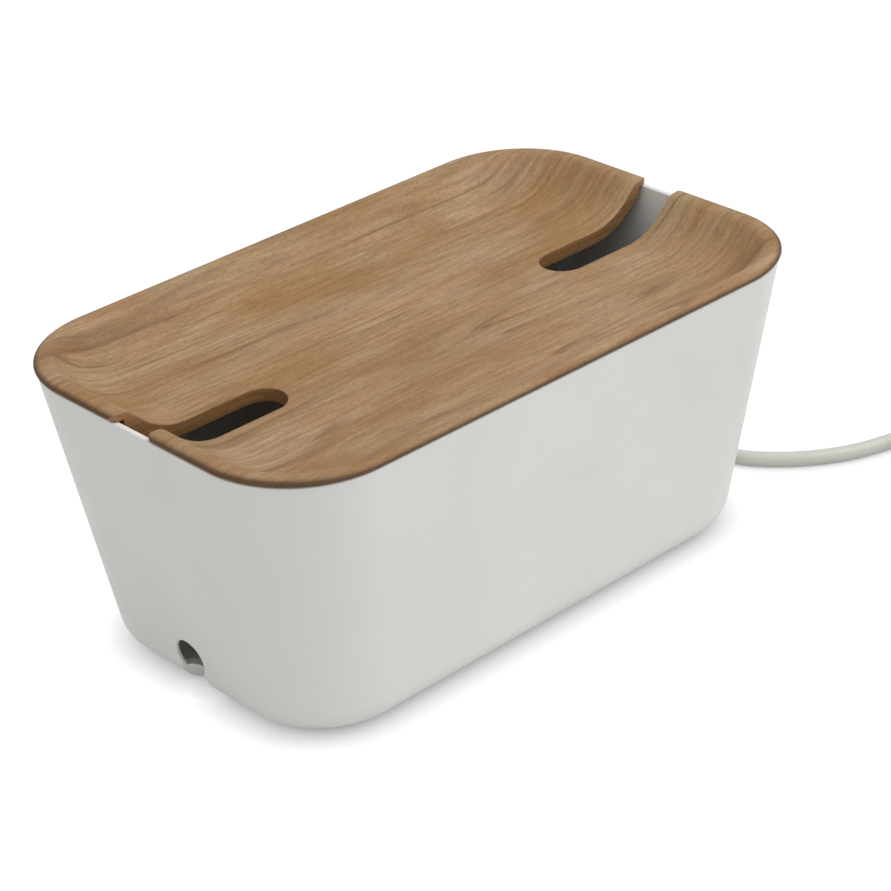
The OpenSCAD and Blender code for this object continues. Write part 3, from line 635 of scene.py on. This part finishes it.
def make_rows():
    """Repeats a piece in rows: Count X of them, Pitch X apart, in Count Y rows."""
    tree, given, end = geometry_tree(
        "rows", ("Count X", "Int"), "Pitch X", ("Count Y", "Int"), "Pitch Y")
    geometry = given["Geometry"]
    for axis in "XY":
        line = put(tree, "MeshLine", {
            "Count": given["Count " + axis],
            "Offset": combined(tree, "XYZ", **{axis: given["Pitch " + axis]})})
        geometry = put(tree, "InstanceOnPoints", {"Points": line, "Instance": geometry})
    return end(geometry)


def make_sleeve_ribs():
    """Adds round ribs along a tapered sleeve that stands on Z, from its root to its tip."""
    tree, given, end = geometry_tree(
        "sleeve_ribs", ("Count", "Int"), "First", "Pitch", "Root Radius", "Taper", "Rib Radius")
    line = put(tree, "MeshLine", {
        "Count": given["Count"], "Start Location": combined(tree, "XYZ", Z=given["First"]),
        "Offset": combined(tree, "XYZ", Z=given["Pitch"])})
    hoop = put(tree, "CurvePrimitiveCircle", {"Radius": 1.0, "Resolution": 48})
    width = sums(tree, "DIVIDE", given["Rib Radius"], given["Root Radius"])
    section = put(tree, "CurvePrimitiveCircle", {"Radius": width, "Resolution": 10})
    rib = put(tree, "CurveToMesh", {"Curve": hoop, "Profile Curve": section})
    shrink = sums(tree, "MULTIPLY", given["Taper"], -1.0)
    size = sums(tree, "MULTIPLY_ADD", put(tree, "InputIndex"), shrink, given["Root Radius"])
    ribs = put(tree, "InstanceOnPoints", {"Points": line, "Instance": rib, "Scale": size})
    return end(put(tree, "JoinGeometry", {"Geometry": [given["Geometry"], ribs]}))


rim_sweep = make_rim_sweep()
lead_sweep = make_lead_sweep()
rows = make_rows()
sleeve_ribs = make_sleeve_ribs()

# Mains lead: from the strip's sleeve out through the wall to the coil, and on to the plug
lead_route = [
    (0.118, 0.004, 0.02), (0.121, 0.004, 0.02), (0.1245, 0.0036, 0.0195),
    (0.1285, 0.0027, 0.0185), (0.133, 0.0012, 0.0169), (0.138, -0.0012, 0.0144),
    (0.143, -0.0046, 0.0115), (0.1475, -0.009, 0.0086), (0.1515, -0.0145, 0.0062),
    (0.1545, -0.021, 0.0045), (0.1567, -0.028, 0.0037), *((x, y, lead_r) for x, y in (
        (0.1588, -0.0346), (0.1614, -0.0408), (0.1652, -0.0468), (0.1702, -0.0529),
        (0.1761, -0.059), (0.183, -0.0647), (0.1908, -0.07), (0.1993, -0.0745),
        (0.2085, -0.078), (0.2184, -0.0809), (0.229, -0.0832), (0.24, -0.0852),
        (0.251, -0.0874)))]
tail_route = [
    (0.2516, -0.1818, 0.0105), (0.243, -0.1824, 0.0101), (0.2345, -0.1826, 0.009),
    (0.226, -0.1823, 0.0074), (0.2195, -0.1816, 0.0061), (0.214, -0.1808, 0.0055),
    (0.209, -0.18, 0.0055)]
coil_at = Vector((0.2475, -0.135, 0))
coil_outer = 47 * MM
coil_start = 74
coil_pitch = 7.1 * MM
layer_turn = 979.2
climb_turn = 60
coil_step = 12


def coil_points():
    """The coil's line: a flat spiral inwards on the floor, then one outwards on top of it."""
    points = []
    for i in range(1 + math.ceil(2 * layer_turn / coil_step)):
        turn = min(i * coil_step, 2 * layer_turn)
        into = turn if turn < layer_turn else 2 * layer_turn - turn
        radius = coil_outer - coil_pitch * into / 360
        climb = min(max((turn - layer_turn) / climb_turn, 0), 1)
        rise = lead_r * (1 + 2 * climb * climb * (3 - 2 * climb))
        angle = coil_start - turn
        points.append(coil_at + Vector((radius * cos(angle), radius * sin(angle), rise)))
    return points[:-1]


def smooth_line(points, spans):
    """Points on the smooth curve through the given ones, each stretch cut into spans."""
    line = []
    ends = [points[0], *points, points[-1]]
    for before, first, second, after in zip(ends, ends[1:], ends[2:], ends[3:]):
        for i in range(spans):
            t = i / spans
            line.append(0.5 * (
                2 * first + (second - before) * t
                + (2 * before - 5 * first + 4 * second - after) * t ** 2
                + (3 * first - before - 3 * second + after) * t ** 3))
    return [*line, points[-1]]


def make_lead():
    line = smooth_line([Vector(p) for p in (*lead_route, *coil_points(), *tail_route)], 3)
    lead = new_piece("mains_lead", line)
    grow(lead, lead_sweep, Radius=lead_r, Sides=24, Material=cord_white)
    finish_piece(lead, "box", ["mains_cord", "cord_coil", "cord_tail"], 60)
    return lead, line


mains_lead, lead_line = make_lead()


# Lid
flat_lap = 2 * MM
wall_across = wall_t / cos(wall_lean)
rim_z = tub_high.z
dish_z = box_h - dish_depth
straight = (dish_depth - (dish_r + crest_r) * (1 - cos(dish_slope))) / sin(dish_slope)
crest_in = lid_round_w + rim_land
dish_in = crest_in + crest_r * sin(dish_slope) + straight * cos(dish_slope)
flat_in = dish_in + dish_r * sin(dish_slope)
seat_in = lid_overhang + wall_across + 2 * MM
lid_edge_z = box_h - lid_edge_h
slot_side = slot_w / 2
slot_tip_x = box_l / 2 - slot_len + slot_side
slot_cut_z = (0.1, 0.15)


def lid_section():
    """The lid's section as (inset, height), from the dish's floor over the rim to underneath."""
    top = [(flat_in - dish_r * sin(a), dish_z + dish_r * (1 - cos(a)))
           for a in steps(0, dish_slope, 14)]
    crest = [(crest_in + crest_r * sin(a), box_h - crest_r * (1 - cos(a)))
             for a in steps(dish_slope, 0, 8)]
    edge = [(inset, box_h - drop) for inset, drop in rounding(lid_round_w, 10, rise=lid_round_h)]
    foot = [(inset, lid_edge_z + rise) for rise, inset in rounding(lid_edge_break, 3)]
    seat_z = rim_z + lid_gap
    seat = [(shadow_in, lid_edge_z), (shadow_in, seat_z), (seat_in, seat_z),
            (seat_in + 0.6 * MM, box_h - lid_t - 1 * MM)]
    under_r = dish_r + lid_t
    under = [(flat_in - under_r * sin(a), dish_z - lid_t + under_r * (1 - cos(a)))
             for a in steps(dish_slope, 0, 10)]
    return [(flat_in + flat_lap, dish_z), *top, *crest, *edge, *foot, *seat, *under,
            (flat_in + flat_lap, dish_z - lid_t)]


def slot_cutter(side):
    """The slot's plan as an upright prism, its mouth flared round the lid's end."""
    end = box_l / 2
    plan = [(slot_tip_x + slot_side * cos(a), slot_side * sin(a)) for a in steps(90, 270, 32)]
    flare = [(end - mouth_r + mouth_r * sin(a), slot_side + mouth_r * (1 - cos(a)))
             for a in steps(0, 90, 8)] + [(end + 5 * MM, slot_side + mouth_r)]
    plan += [(x, -y) for x, y in flare] + flare[::-1]
    plan = [(side * x, side * y) for x, y in plan]
    return ring_stack("slot_cutter", [[(x, y, z) for x, y in plan] for z in slot_cut_z])


def fill_holes(opened):
    bmesh.ops.remove_doubles(opened, verts=opened.verts, dist=1e-6)
    bmesh.ops.holes_fill(opened, edges=[e for e in opened.edges if e.is_boundary])
    bmesh.ops.recalc_face_normals(opened, faces=opened.faces)


def on_slot_wall(face):
    """True for a face cut by a slot."""
    middle = face.calc_center_median()
    inside = slot_tip_x - slot_w < abs(middle.x) < box_l / 2 - 0.05 * MM
    return inside and abs(middle.y) < slot_side + mouth_r and abs(face.normal.z) < 0.05


def top_slot_edge(edge):
    """True for an edge between a slot's wall and the top, clear of the slot's mouth."""
    walls = [f for f in edge.link_faces if on_slot_wall(f)]
    tops = [f for f in edge.link_faces if f.normal.z > 0.3]
    inner = all(abs(v.co.x) < box_l / 2 - mouth_r - 0.3 * MM for v in edge.verts)
    return inner and len(walls) == 1 and len(tops) == 1


def paint_slot_walls(opened):
    for face in opened.faces:
        face.material_index = int(on_slot_wall(face))


def make_lid():
    lid = new_piece("lid_board", [(-inset, -z, 0) for inset, z in lid_section()])
    grow(lid, rim_sweep, Length=box_l, Width=box_w, Corner_Radius=lid_corner_r,
         Corner_Steps=corner_steps, Material=lid_wood)
    shape_up(lid, fill_holes)
    for side in (1, -1):
        combine(lid, slot_cutter(side))
    coat(lid, lid_wood)
    lid.data.materials.append(lid_cut)
    shape_up(lid, lambda opened: bmesh.ops.remove_doubles(
        opened, verts=opened.verts, dist=0.03 * MM))
    soften_edges(lid, top_slot_edge, 0.7 * MM)
    shape_up(lid, paint_slot_walls)
    finish_piece(lid, "lid", ["lid"])


make_lid()

# Tub
tub_z = tub_low.z
lean_tan = tan(wall_lean)
rim_half = box_l / 2 - lid_overhang
rim_corner_r = lid_corner_r - lid_overhang
base_half = rim_half - (rim_z - tub_z) * lean_tan
floor_z = tub_z + floor_t
floor_half = base_half + floor_t * lean_tan - wall_across
rim_round = 0.6 * MM
end_steps = 24
gutter_run = 14 * MM
outlet_place = move((base_half + (outlet_z - tub_z) * lean_tan, 0, outlet_z)) @ spin(
    90 + wall_lean, "Y")


def tub_ring(half, radius, z):
    return ring(2 * half, 2 * half - across, radius, z, end_steps=end_steps)


def tub_edge(half, edge_r, corner_r, z):
    """Rings of the round edge between floor and wall, from the floor up."""
    reach = edge_r * tan((90 - wall_lean) / 2)
    flat = reach + 3 * MM
    rings = [tub_ring(half - flat, corner_r - flat, z)]
    for a in steps(0, 90 - wall_lean, 12):
        inset = reach - edge_r * sin(a)
        rings.append(tub_ring(half - inset, corner_r - inset, z + edge_r * (1 - cos(a))))
    return rings


def between(low, high, heights):
    """Rings between two others, at those heights."""
    low_z, high_z = low[0][2], high[0][2]
    return [[tuple(Vector(p).lerp(Vector(q), (z - low_z) / (high_z - low_z)))
             for p, q in zip(low, high)] for z in heights]


def rim_rings():
    """The tub's rounded rim, from its outer side to its inner one."""
    rings = []
    for drop, inset in rounding(rim_round, 4):
        inset += 0 if inset else rim_round * lean_tan
        rings.append(tub_ring(rim_half - inset, rim_corner_r - inset, rim_z - drop))
    inner_half, inner_r = rim_half - wall_across, rim_corner_r - wall_t
    for drop, inset in rounding(rim_round, 4, 90, 0):
        rings.append(tub_ring(inner_half + inset, inner_r + inset, rim_z - drop))
    return rings


def gutter_cut():
    """A round cutter that runs up and inwards from the floor to the outlet."""
    foot = Vector((base_half - 12 * MM, 0, tub_z))
    along = Vector((cos(gutter_slope), 0, sin(gutter_slope)))
    middle = foot + gutter_r * Vector((sin(gutter_slope), 0, -cos(gutter_slope)))
    long = gutter_run + outlet_z + outlet_r
    return rod("gutter_cut", gutter_r, 0, long, 96,
               move(middle - gutter_run * along) @ spin(90 - gutter_slope, "Y"))


def outlet_hole():
    """The round hole, flared a little at the wall's outer face."""
    return flared_cutter("outlet_hole", outlet_r, 0.5 * MM, -16 * MM, 0, 12 * MM, 64, outlet_place)


def thinned_wall():
    """The pocket that leaves the wall thin round the hole."""
    return rod("thinned_wall", outlet_r + 2.5 * MM, -9 * MM, -1.3 * MM, matrix=outlet_place)


def outlet_ramp():
    """The sill inside the wall, which the gutter hollows from outside: its top goes gently
    down inwards, so that a lead slides up over it."""
    low, crest = floor_z - 0.01 * MM, outlet_z - 6.8 * MM
    plan = [(-14, low), (-3.9, low), (-1, floor_z + 4.5 * MM), (0.7, crest), (-2, crest),
            (-12.5, floor_z + 4 * MM)]
    half = gutter_r + 2.2 * MM
    ramp = ring_stack("outlet_ramp", [
        [(base_half + x * MM, y, z) for x, z in plan] for y in (half, -half)])

    def on_top(edge):
        return all(v.co.z > floor_z + 3.9 * MM and v.co.x < base_half - 1.9 * MM
                   for v in edge.verts)
    soften_edges(ramp, on_top, 1.8 * MM, 5)
    return ramp


def at_other_end(piece):
    """Mirrors a cutter to the end towards -X, its faces kept outward."""
    piece.data.transform(Matrix.Scale(-1, 4, (1, 0, 0)))
    piece.data.flip_normals()
    return piece


def make_tub():
    outer = tub_edge(base_half, base_edge_r, base_corner_r, tub_z)
    inner = tub_edge(floor_half, base_edge_r - wall_t, base_corner_r - wall_t, floor_z)
    rim = rim_rings()
    levels = [z * MM for z in range(16, 47, 3)]
    tub = ring_stack("tub_shell", [
        *outer, *between(outer[-1], rim[0], levels), *rim,
        *between(inner[-1], rim[-1], levels)[::-1], *inner[::-1]], tub_white)
    for place in (lambda piece: piece, at_other_end):
        combine(tub, place(thinned_wall()))
        combine(tub, place(outlet_ramp()), "UNION")
        combine(tub, place(gutter_cut()))
        combine(tub, place(outlet_hole()))
    tidy_mesh(tub)
    finish_piece(tub, "box", ["tub"], 28, tub_white)


make_tub()


# Feet and the strip's pads: turned pucks, repeated
def pucks(name, node, across_r, material):
    """Round pads with a rounded lower edge, one at each corner of the node's box."""
    low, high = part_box(node)
    round_r = 0.3 * (high.z - low.z)
    edge = [(across_r - inset, rise) for inset, rise in rounding(round_r, 5, 18)]
    section = [(across_r - 2 * MM, 0), (across_r - round_r, 0), *edge, (across_r, high.z - low.z)]
    piece = turned(name, section, material, 48)
    grow(piece, rows, Count_X=2, Pitch_X=high.x - low.x - 2 * across_r,
         Count_Y=2, Pitch_Y=high.y - low.y - 2 * across_r, Material=material)
    piece.data.transform(move((low.x + across_r, low.y + across_r, low.z)))
    finish_piece(piece, "box", [node], 40)


pucks("feet_round", "feet", 7 * MM, foot_rubber)
pucks("strip_pads_round", "strip_pads", 5 * MM, foot_rubber)

# Power strip: cover, shutters, rocker and the lead's sleeve
cover_low, cover_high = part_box("strip_cover")
socket_low, socket_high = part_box("socket_1")
first_socket_x = (socket_low.x + socket_high.x) / 2
split_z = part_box("strip_base")[1].z
strip_top = cover_high.z


def well_lip():
    """A low raised lip that rings a socket's well."""
    middle = well_r + 1.25 * MM
    crown = [(middle + 0.6 * MM * cos(a), strip_top - 0.3 * MM + 0.8 * MM * sin(a))
             for a in steps(0, 180, 10)]
    return turned("well_lip", [(middle, strip_top - 1 * MM), *crown], sides=72, closed=True)


def in_a_row(piece, material, count_y=1, pitch_y=0.0):
    """Repeats a piece made at the axis along the strip's four sockets."""
    grow(piece, rows, Count_X=4, Pitch_X=socket_pitch, Count_Y=count_y, Pitch_Y=pitch_y,
         Material=material)
    piece.data.transform(move((first_socket_x, strip_y - pitch_y * (count_y - 1) / 2, 0)))
    return piece


def cover_rings():
    """The cover's shell, from inside its top, down, round its lower edge and up outside."""
    length, width = cover_high.x - cover_low.x, cover_high.y - cover_low.y
    middle = ((cover_high.x + cover_low.x) / 2, (cover_high.y + cover_low.y) / 2)
    seam = 0.4 * MM

    def at(inset, z):
        return ring(length - 2 * inset, width - 2 * inset, strip_corner_r - inset, z, middle)
    return [at(strip_wall, strip_top - strip_wall), at(strip_wall, split_z), at(seam, split_z),
            at(0, split_z + seam),
            *(at(inset, strip_top - drop) for drop, inset in rounding(strip_edge_r, 8))]


def make_cover():
    cover = ring_stack("strip_cover_shell", cover_rings(), casing_white)
    boss_aside, boss_r, bore_r = 20.8 * MM, 3.4 * MM, 1.55 * MM
    roof, bore_top = strip_top - strip_wall + 0.5 * MM, 30.6 * MM
    for x in (first_socket_x + 0.5 * socket_pitch, first_socket_x + 2.5 * socket_pitch):
        for y in (strip_y - boss_aside, strip_y + boss_aside):
            place = move((x, y, 0))
            combine(cover, rod("boss", boss_r, split_z, roof, 32, place), "UNION")
            combine(cover, rod("bore", bore_r, split_z - 1 * MM, bore_top, 24, place))
    combine(cover, in_a_row(well_lip(), casing_white), "UNION")
    combine(cover, in_a_row(flared_cutter(
        "wells", well_r, 0.5 * MM, strip_top - 2 * strip_wall, strip_top,
        strip_top + 4 * MM, 72), casing_white))
    half_x, half_y = 10.8 * MM, 14.8 * MM
    combine(cover, block("switch_room", (
        switch_at[0] - half_x, strip_y - half_y, strip_top - 2 * strip_wall), (
        switch_at[0] + half_x, strip_y + half_y, strip_top + 1 * MM)))
    off_seam = 2.8
    neck = move((cover_high.x - 4 * MM, strip_y, split_z)) @ spin(90, "Y") @ spin(off_seam, "Z")
    combine(cover, rod("neck", 5.1 * MM, 0, 8 * MM, 48, neck))
    tidy_mesh(cover)
    finish_piece(cover, "box", ["strip_cover"], 30, casing_white)


def make_shutters():
    """Grey plates that close the pin holes from below until a plug pushes them aside."""
    across_r = 3.2 * MM
    top = socket_low.z + 0.02 * MM
    section = [(across_r - 0.3 * MM, top - 0.6 * MM), (across_r, top - 0.4 * MM),
               (across_r, top - 0.1 * MM), (across_r - 0.1 * MM, top)]
    shutters = in_a_row(turned("pin_shutters", section, sides=24), shutter_grey, 2, pin_pitch)
    finish_piece(shutters, "box", (), 30, shutter_grey)


def make_rocker():
    """The switch's rocker: a hollowed upper face, grip ribs near its ends, and its pivot pins."""
    half, horn, dip = 12.5 * MM, 5.2 * MM, 3.6 * MM
    wide = 8 * MM
    end_r = 0.9 * MM
    top = [(y, dip + (horn - dip) * (y / half) ** 2) for y in steps(half - end_r, end_r - half, 20)]
    low_end = horn - (horn - dip) * 2 * end_r / half
    plan = [(-half, -1 * MM), (-4 * MM, -4.4 * MM), (4 * MM, -4.4 * MM), (half, -1 * MM),
            (half, low_end - end_r), (half - 0.3 * end_r, low_end - 0.3 * end_r),
            *top, (-half + 0.3 * end_r, low_end - 0.3 * end_r), (-half, low_end - end_r)]
    rocker = ring_stack("rocker_cap", [
        [(x, y, z) for y, z in plan] for x in (-wide, wide)], rocker_red)
    soften_edges(rocker, lambda edge: edge.calc_face_angle(0) > math.radians(50), 0.5 * MM)
    rib_x, rib_y = wide - 2.5 * MM, 0.35 * MM
    ribs = block("grip_ribs", (-rib_x, -rib_y, 4 * MM), (rib_x, rib_y, 4.9 * MM))
    grow(ribs, rows, Count_X=1, Pitch_X=0.0, Count_Y=3, Pitch_Y=1.6 * MM, Material=rocker_red)
    ribs.data.transform(move((0, 6.6 * MM, -rib_y)))
    combine(rocker, ribs, "UNION")
    combine(rocker, rod("pivot", 1.5 * MM, -9.4 * MM, 9.4 * MM, 32, spin(90, "Y")), "UNION")
    rocker.data.transform(move(switch_at) @ spin(-9, "X"))
    finish_piece(rocker, "rocker", ["switch_rocker"], material=rocker_red)


def make_lead_sleeve():
    """The tapered sleeve where the lead leaves the strip, with soft ribs along it."""
    bore_r = lead_r + 0.05 * MM
    neck_r, flange_r = 5 * MM, 6 * MM
    seat, flange_t = 2.1 * MM, 1.6 * MM
    collar_r, tip_r = 5.8 * MM, 4.2 * MM
    section = [
        (bore_r, -seat - flange_t), (flange_r, -seat - flange_t), (flange_r, -seat),
        (neck_r, -seat), (neck_r, 0.1 * MM), (collar_r - 0.4 * MM, 0.1 * MM),
        (collar_r, 0.5 * MM), (collar_r, 2.4 * MM), (collar_r - 0.6 * MM, 3 * MM),
        (tip_r, sleeve_length - 0.5 * MM), (tip_r - 0.3 * MM, sleeve_length),
        (bore_r, sleeve_length)]
    sleeve = turned("lead_sleeve", section, cord_white, 48, closed=True)
    grow(sleeve, sleeve_ribs, Count=7, First=5 * MM, Pitch=2.9 * MM, Root_Radius=5 * MM,
         Taper=0.125 * MM, Rib_Radius=0.6 * MM, Material=cord_white)
    sleeve.data.transform(move((cover_high.x, strip_y, split_z)) @ spin(90, "Y"))
    finish_piece(sleeve, "box", ["strain_relief"], 40, cord_white)


make_cover()
make_shutters()
make_rocker()
make_lead_sleeve()


# Plug and the strap round the coil
plug_turn = -9.09
plug_reach = plug_r + 24 * MM
grip_turns = (24, 32, 40, 48, 56)


def make_plug():
    """A round plug that stands on its back: rounded edges, grip notches, earth grooves and
    a ribbed sleeve towards the lead."""
    back = [(plug_r - inset, rise) for inset, rise in rounding(3.2 * MM, 8)]
    face = [(plug_r - inset, plug_h - drop) for drop, inset in rounding(1 * MM, 5)]
    body = turned("plug_shell", [*back, *face], plug_white, 96)
    for side in (1, -1):
        combine(body, block("notch", (side * plug_r - 3 * MM, -2.7 * MM, 10 * MM),
                            (side * plug_r + 3 * MM, 2.7 * MM, 30 * MM)))
        combine(body, block("groove", (-3.2 * MM, side * plug_r - 1.4 * MM, 12 * MM),
                            (3.2 * MM, side * plug_r + 1.4 * MM, 30 * MM)))
        combine(body, rod("pin_room", 1.8 * MM, 20 * MM, 30 * MM, 24,
                          move((side * pin_pitch / 2, 0, 0))))
    angles = [a * end for a in grip_turns for end in (1, -1)]
    for angle in angles + [180 - a for a in angles]:
        grip = block("grip", (-0.45 * MM, 0, 5 * MM), (0.45 * MM, 1.1 * MM, 17 * MM))
        grip.data.transform(spin(angle - 90, "Z") @ move((0, plug_r - 0.6 * MM, 0)))
        combine(body, grip)
    root_r, tip_r, bore_r = 5.2 * MM, 4.1 * MM, lead_r - 0.1 * MM
    start = plug_r - 3 * MM
    sleeve = turned("plug_sleeve", [
        (bore_r, start), (root_r, start), (tip_r, plug_reach - 0.4 * MM),
        (tip_r - 0.3 * MM, plug_reach), (bore_r, plug_reach)], plug_white, 48, closed=True)
    grow(sleeve, sleeve_ribs, Count=6, First=plug_r + 3 * MM, Pitch=3.2 * MM,
         Root_Radius=4.75 * MM, Taper=0.13 * MM, Rib_Radius=0.6 * MM, Material=plug_white)
    sleeve.data.transform(move((0, 0, 5.5 * MM)) @ spin(90, "Y"))
    combine(body, sleeve, "UNION")
    body.data.transform(
        move((*tail_route[-1][:2], 0)) @ spin(plug_turn, "Z") @ move((-plug_reach, 0, 0)))
    return finish_piece(body, "box", ["plug_body"], material=plug_white)


def make_coil_strap():
    """A hook-and-loop strap over the coil, pulled snug, with its end lapped on the outside."""
    thick, wide, strap_steps = 1 * MM, 12 * MM, 10
    inner_r, outer_r, top_z, bend = 27.1 * MM, 49.54 * MM, 14.5 * MM, 4 * MM
    path = [(inner_r, 0.0), (inner_r, top_z - bend)]
    path += [(inner_r + inset, top_z - drop) for drop, inset in rounding(bend, 5, 15)]
    path += [(outer_r - inset, top_z - drop) for inset, drop in rounding(bend, 5, 0, 75)]
    path += [(outer_r, top_z - bend), (outer_r, 0.0)]
    outside, inside = [], []
    for (r0, z0), (r, z), (r1, z1) in zip([path[0], *path], path, [*path[1:], path[-1]]):
        along = Vector((r1 - r0, z1 - z0)).normalized()
        outside.append((r - along.y * thick / 2, z + along.x * thick / 2))
        inside.append((r + along.y * thick / 2, z - along.x * thick / 2))
    lap = [(outer_r + 1.4 * MM, 1.6 * MM), (outer_r + 1.55 * MM, 2 * MM),
           (outer_r + 1.55 * MM, 9.2 * MM), (outer_r + 1.2 * MM, 9.8 * MM)]
    outside = outside[:-1] + [(outer_r + thick / 2, 9.9 * MM), *lap[::-1],
                              (outer_r + thick / 2, 1.4 * MM), outside[-1]]
    section = outside[::-1] + inside
    rings = []
    for i, y in enumerate(steps(-wide / 2, wide / 2, strap_steps)):
        pull = 0.15 * MM if i in (0, strap_steps) else 0
        rings.append([tuple(coil_at + Vector((math.sqrt(r * r - y * y), y, max(z - pull, 0))))
                      for r, z in section])
    strap = ring_stack("coil_strap", rings, tie_cloth)
    shape_up(strap, lambda opened: bmesh.ops.recalc_face_normals(opened, faces=opened.faces))
    return finish_piece(strap, "box", ["coil_tie"], 40)


plug_shell = make_plug()
coil_strap = make_coil_strap()

# Carried-over nodes and their finishes
for node_finish, node_names in (
        (casing_white, "strip_base"), (cord_white, "cord_inner"),
        (socket_white, "socket_1 socket_2 socket_3 socket_4 switch_frame"),
        (contact_brass, "live_bar neutral_bar switch_contacts"),
        (earth_metal, "earth_bar plug_earth"), (screw_steel, "clamp_screws cover_screws"),
        (lamp_amber, "switch_lamp"), (clamp_black, "cord_clamp"),
        (wire_insulation, "wires"), (pin_nickel, "plug_pins")):
    for node_name in node_names.split():
        nodes[node_name].data.materials.clear()
        nodes[node_name].data.materials.append(node_finish)

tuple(lead_route[0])
[tuple(p) for p in lead_line]


# Studio: a pale floor that shows white, with a painted contact shadow round the box, a soft sky and
# one large lamp
floor_grey = (0.72, 0.72, 0.72, 1)
seen_floor_grey = (0.12, 0.12, 0.12, 1)
seen_glow = 0.96
painted_shadow_reach = 0.013
painted_shadow_depth = 0.45
sky_light = 0.63
white = (1, 1, 1, 1)
floor_reach = 8
lamp_at = Vector((0.7, -1.1, 2.2))
lamp_size = 1.6
lamp_watts = 30


def bare_tree(owner):
    """The owner's node tree, with nothing in it."""
    owner.use_nodes = True
    owner.node_tree.nodes.clear()
    return owner.node_tree


def seen_directly(tree, *others):
    """1 for rays that come from the camera, or are of another kind named, and 0 for light."""
    rays = put(tree, "LightPath").outputs
    direct = rays["Is Camera Ray"]
    for kind in others:
        direct = sums(tree, "MAXIMUM", direct, rays[kind])
    return direct


def make_floor():
    material = bpy.data.materials.new("studio_floor")
    tree = bare_tree(material)
    direct = seen_directly(tree, "Is Glossy Ray", "Is Transmission Ray")
    matte = put(tree, "BsdfDiffuse", {
        "Color": blend_colour(tree, direct, floor_grey, seen_floor_grey)})
    # Painted shadow: the floor's white glow is dimmed by ambient occlusion close to the box.
    shadow_occlusion = put(tree, "AmbientOcclusion", {"Distance": painted_shadow_reach}, samples=16)
    unshadowed_part = sums(tree, "POWER", shadow_occlusion.outputs["AO"], painted_shadow_depth)
    glow = put(tree, "Emission", {"Color": white, "Strength": sums(
        tree, "MULTIPLY", direct, sums(tree, "MULTIPLY", unshadowed_part, seen_glow))})
    put(tree, "OutputMaterial", {"Surface": put(tree, "AddShader", {0: matte, 1: glow})})
    corners = [(-1, -1), (1, -1), (1, 1), (-1, 1)]
    new_piece("studio_floor", [
        (x * floor_reach, y * floor_reach, 0) for x, y in corners], [(0, 1, 2, 3)], material)


def make_sky():
    world = bpy.data.worlds.new("studio_sky")
    bpy.context.scene.world = world
    tree = bare_tree(world)
    direct = seen_directly(tree, "Is Transmission Ray")
    glow = put(tree, "Background", {
        "Color": white, "Strength": spread(tree, direct, 0.0, 1.0, sky_light, 1.0)})
    put(tree, "OutputWorld", {"Surface": glow})


def make_lamp():
    data = bpy.data.lights.new("soft_lamp", "AREA")
    data.shape = "DISK"
    data.size = lamp_size
    data.energy = lamp_watts
    lamp = stand("soft_lamp", data)
    lamp.location = lamp_at
    lamp.rotation_euler = (-lamp_at).to_track_quat("-Z", "Y").to_euler()


make_floor()
make_sky()
make_lamp()
bpy.context.scene.view_settings.view_transform = "Standard"
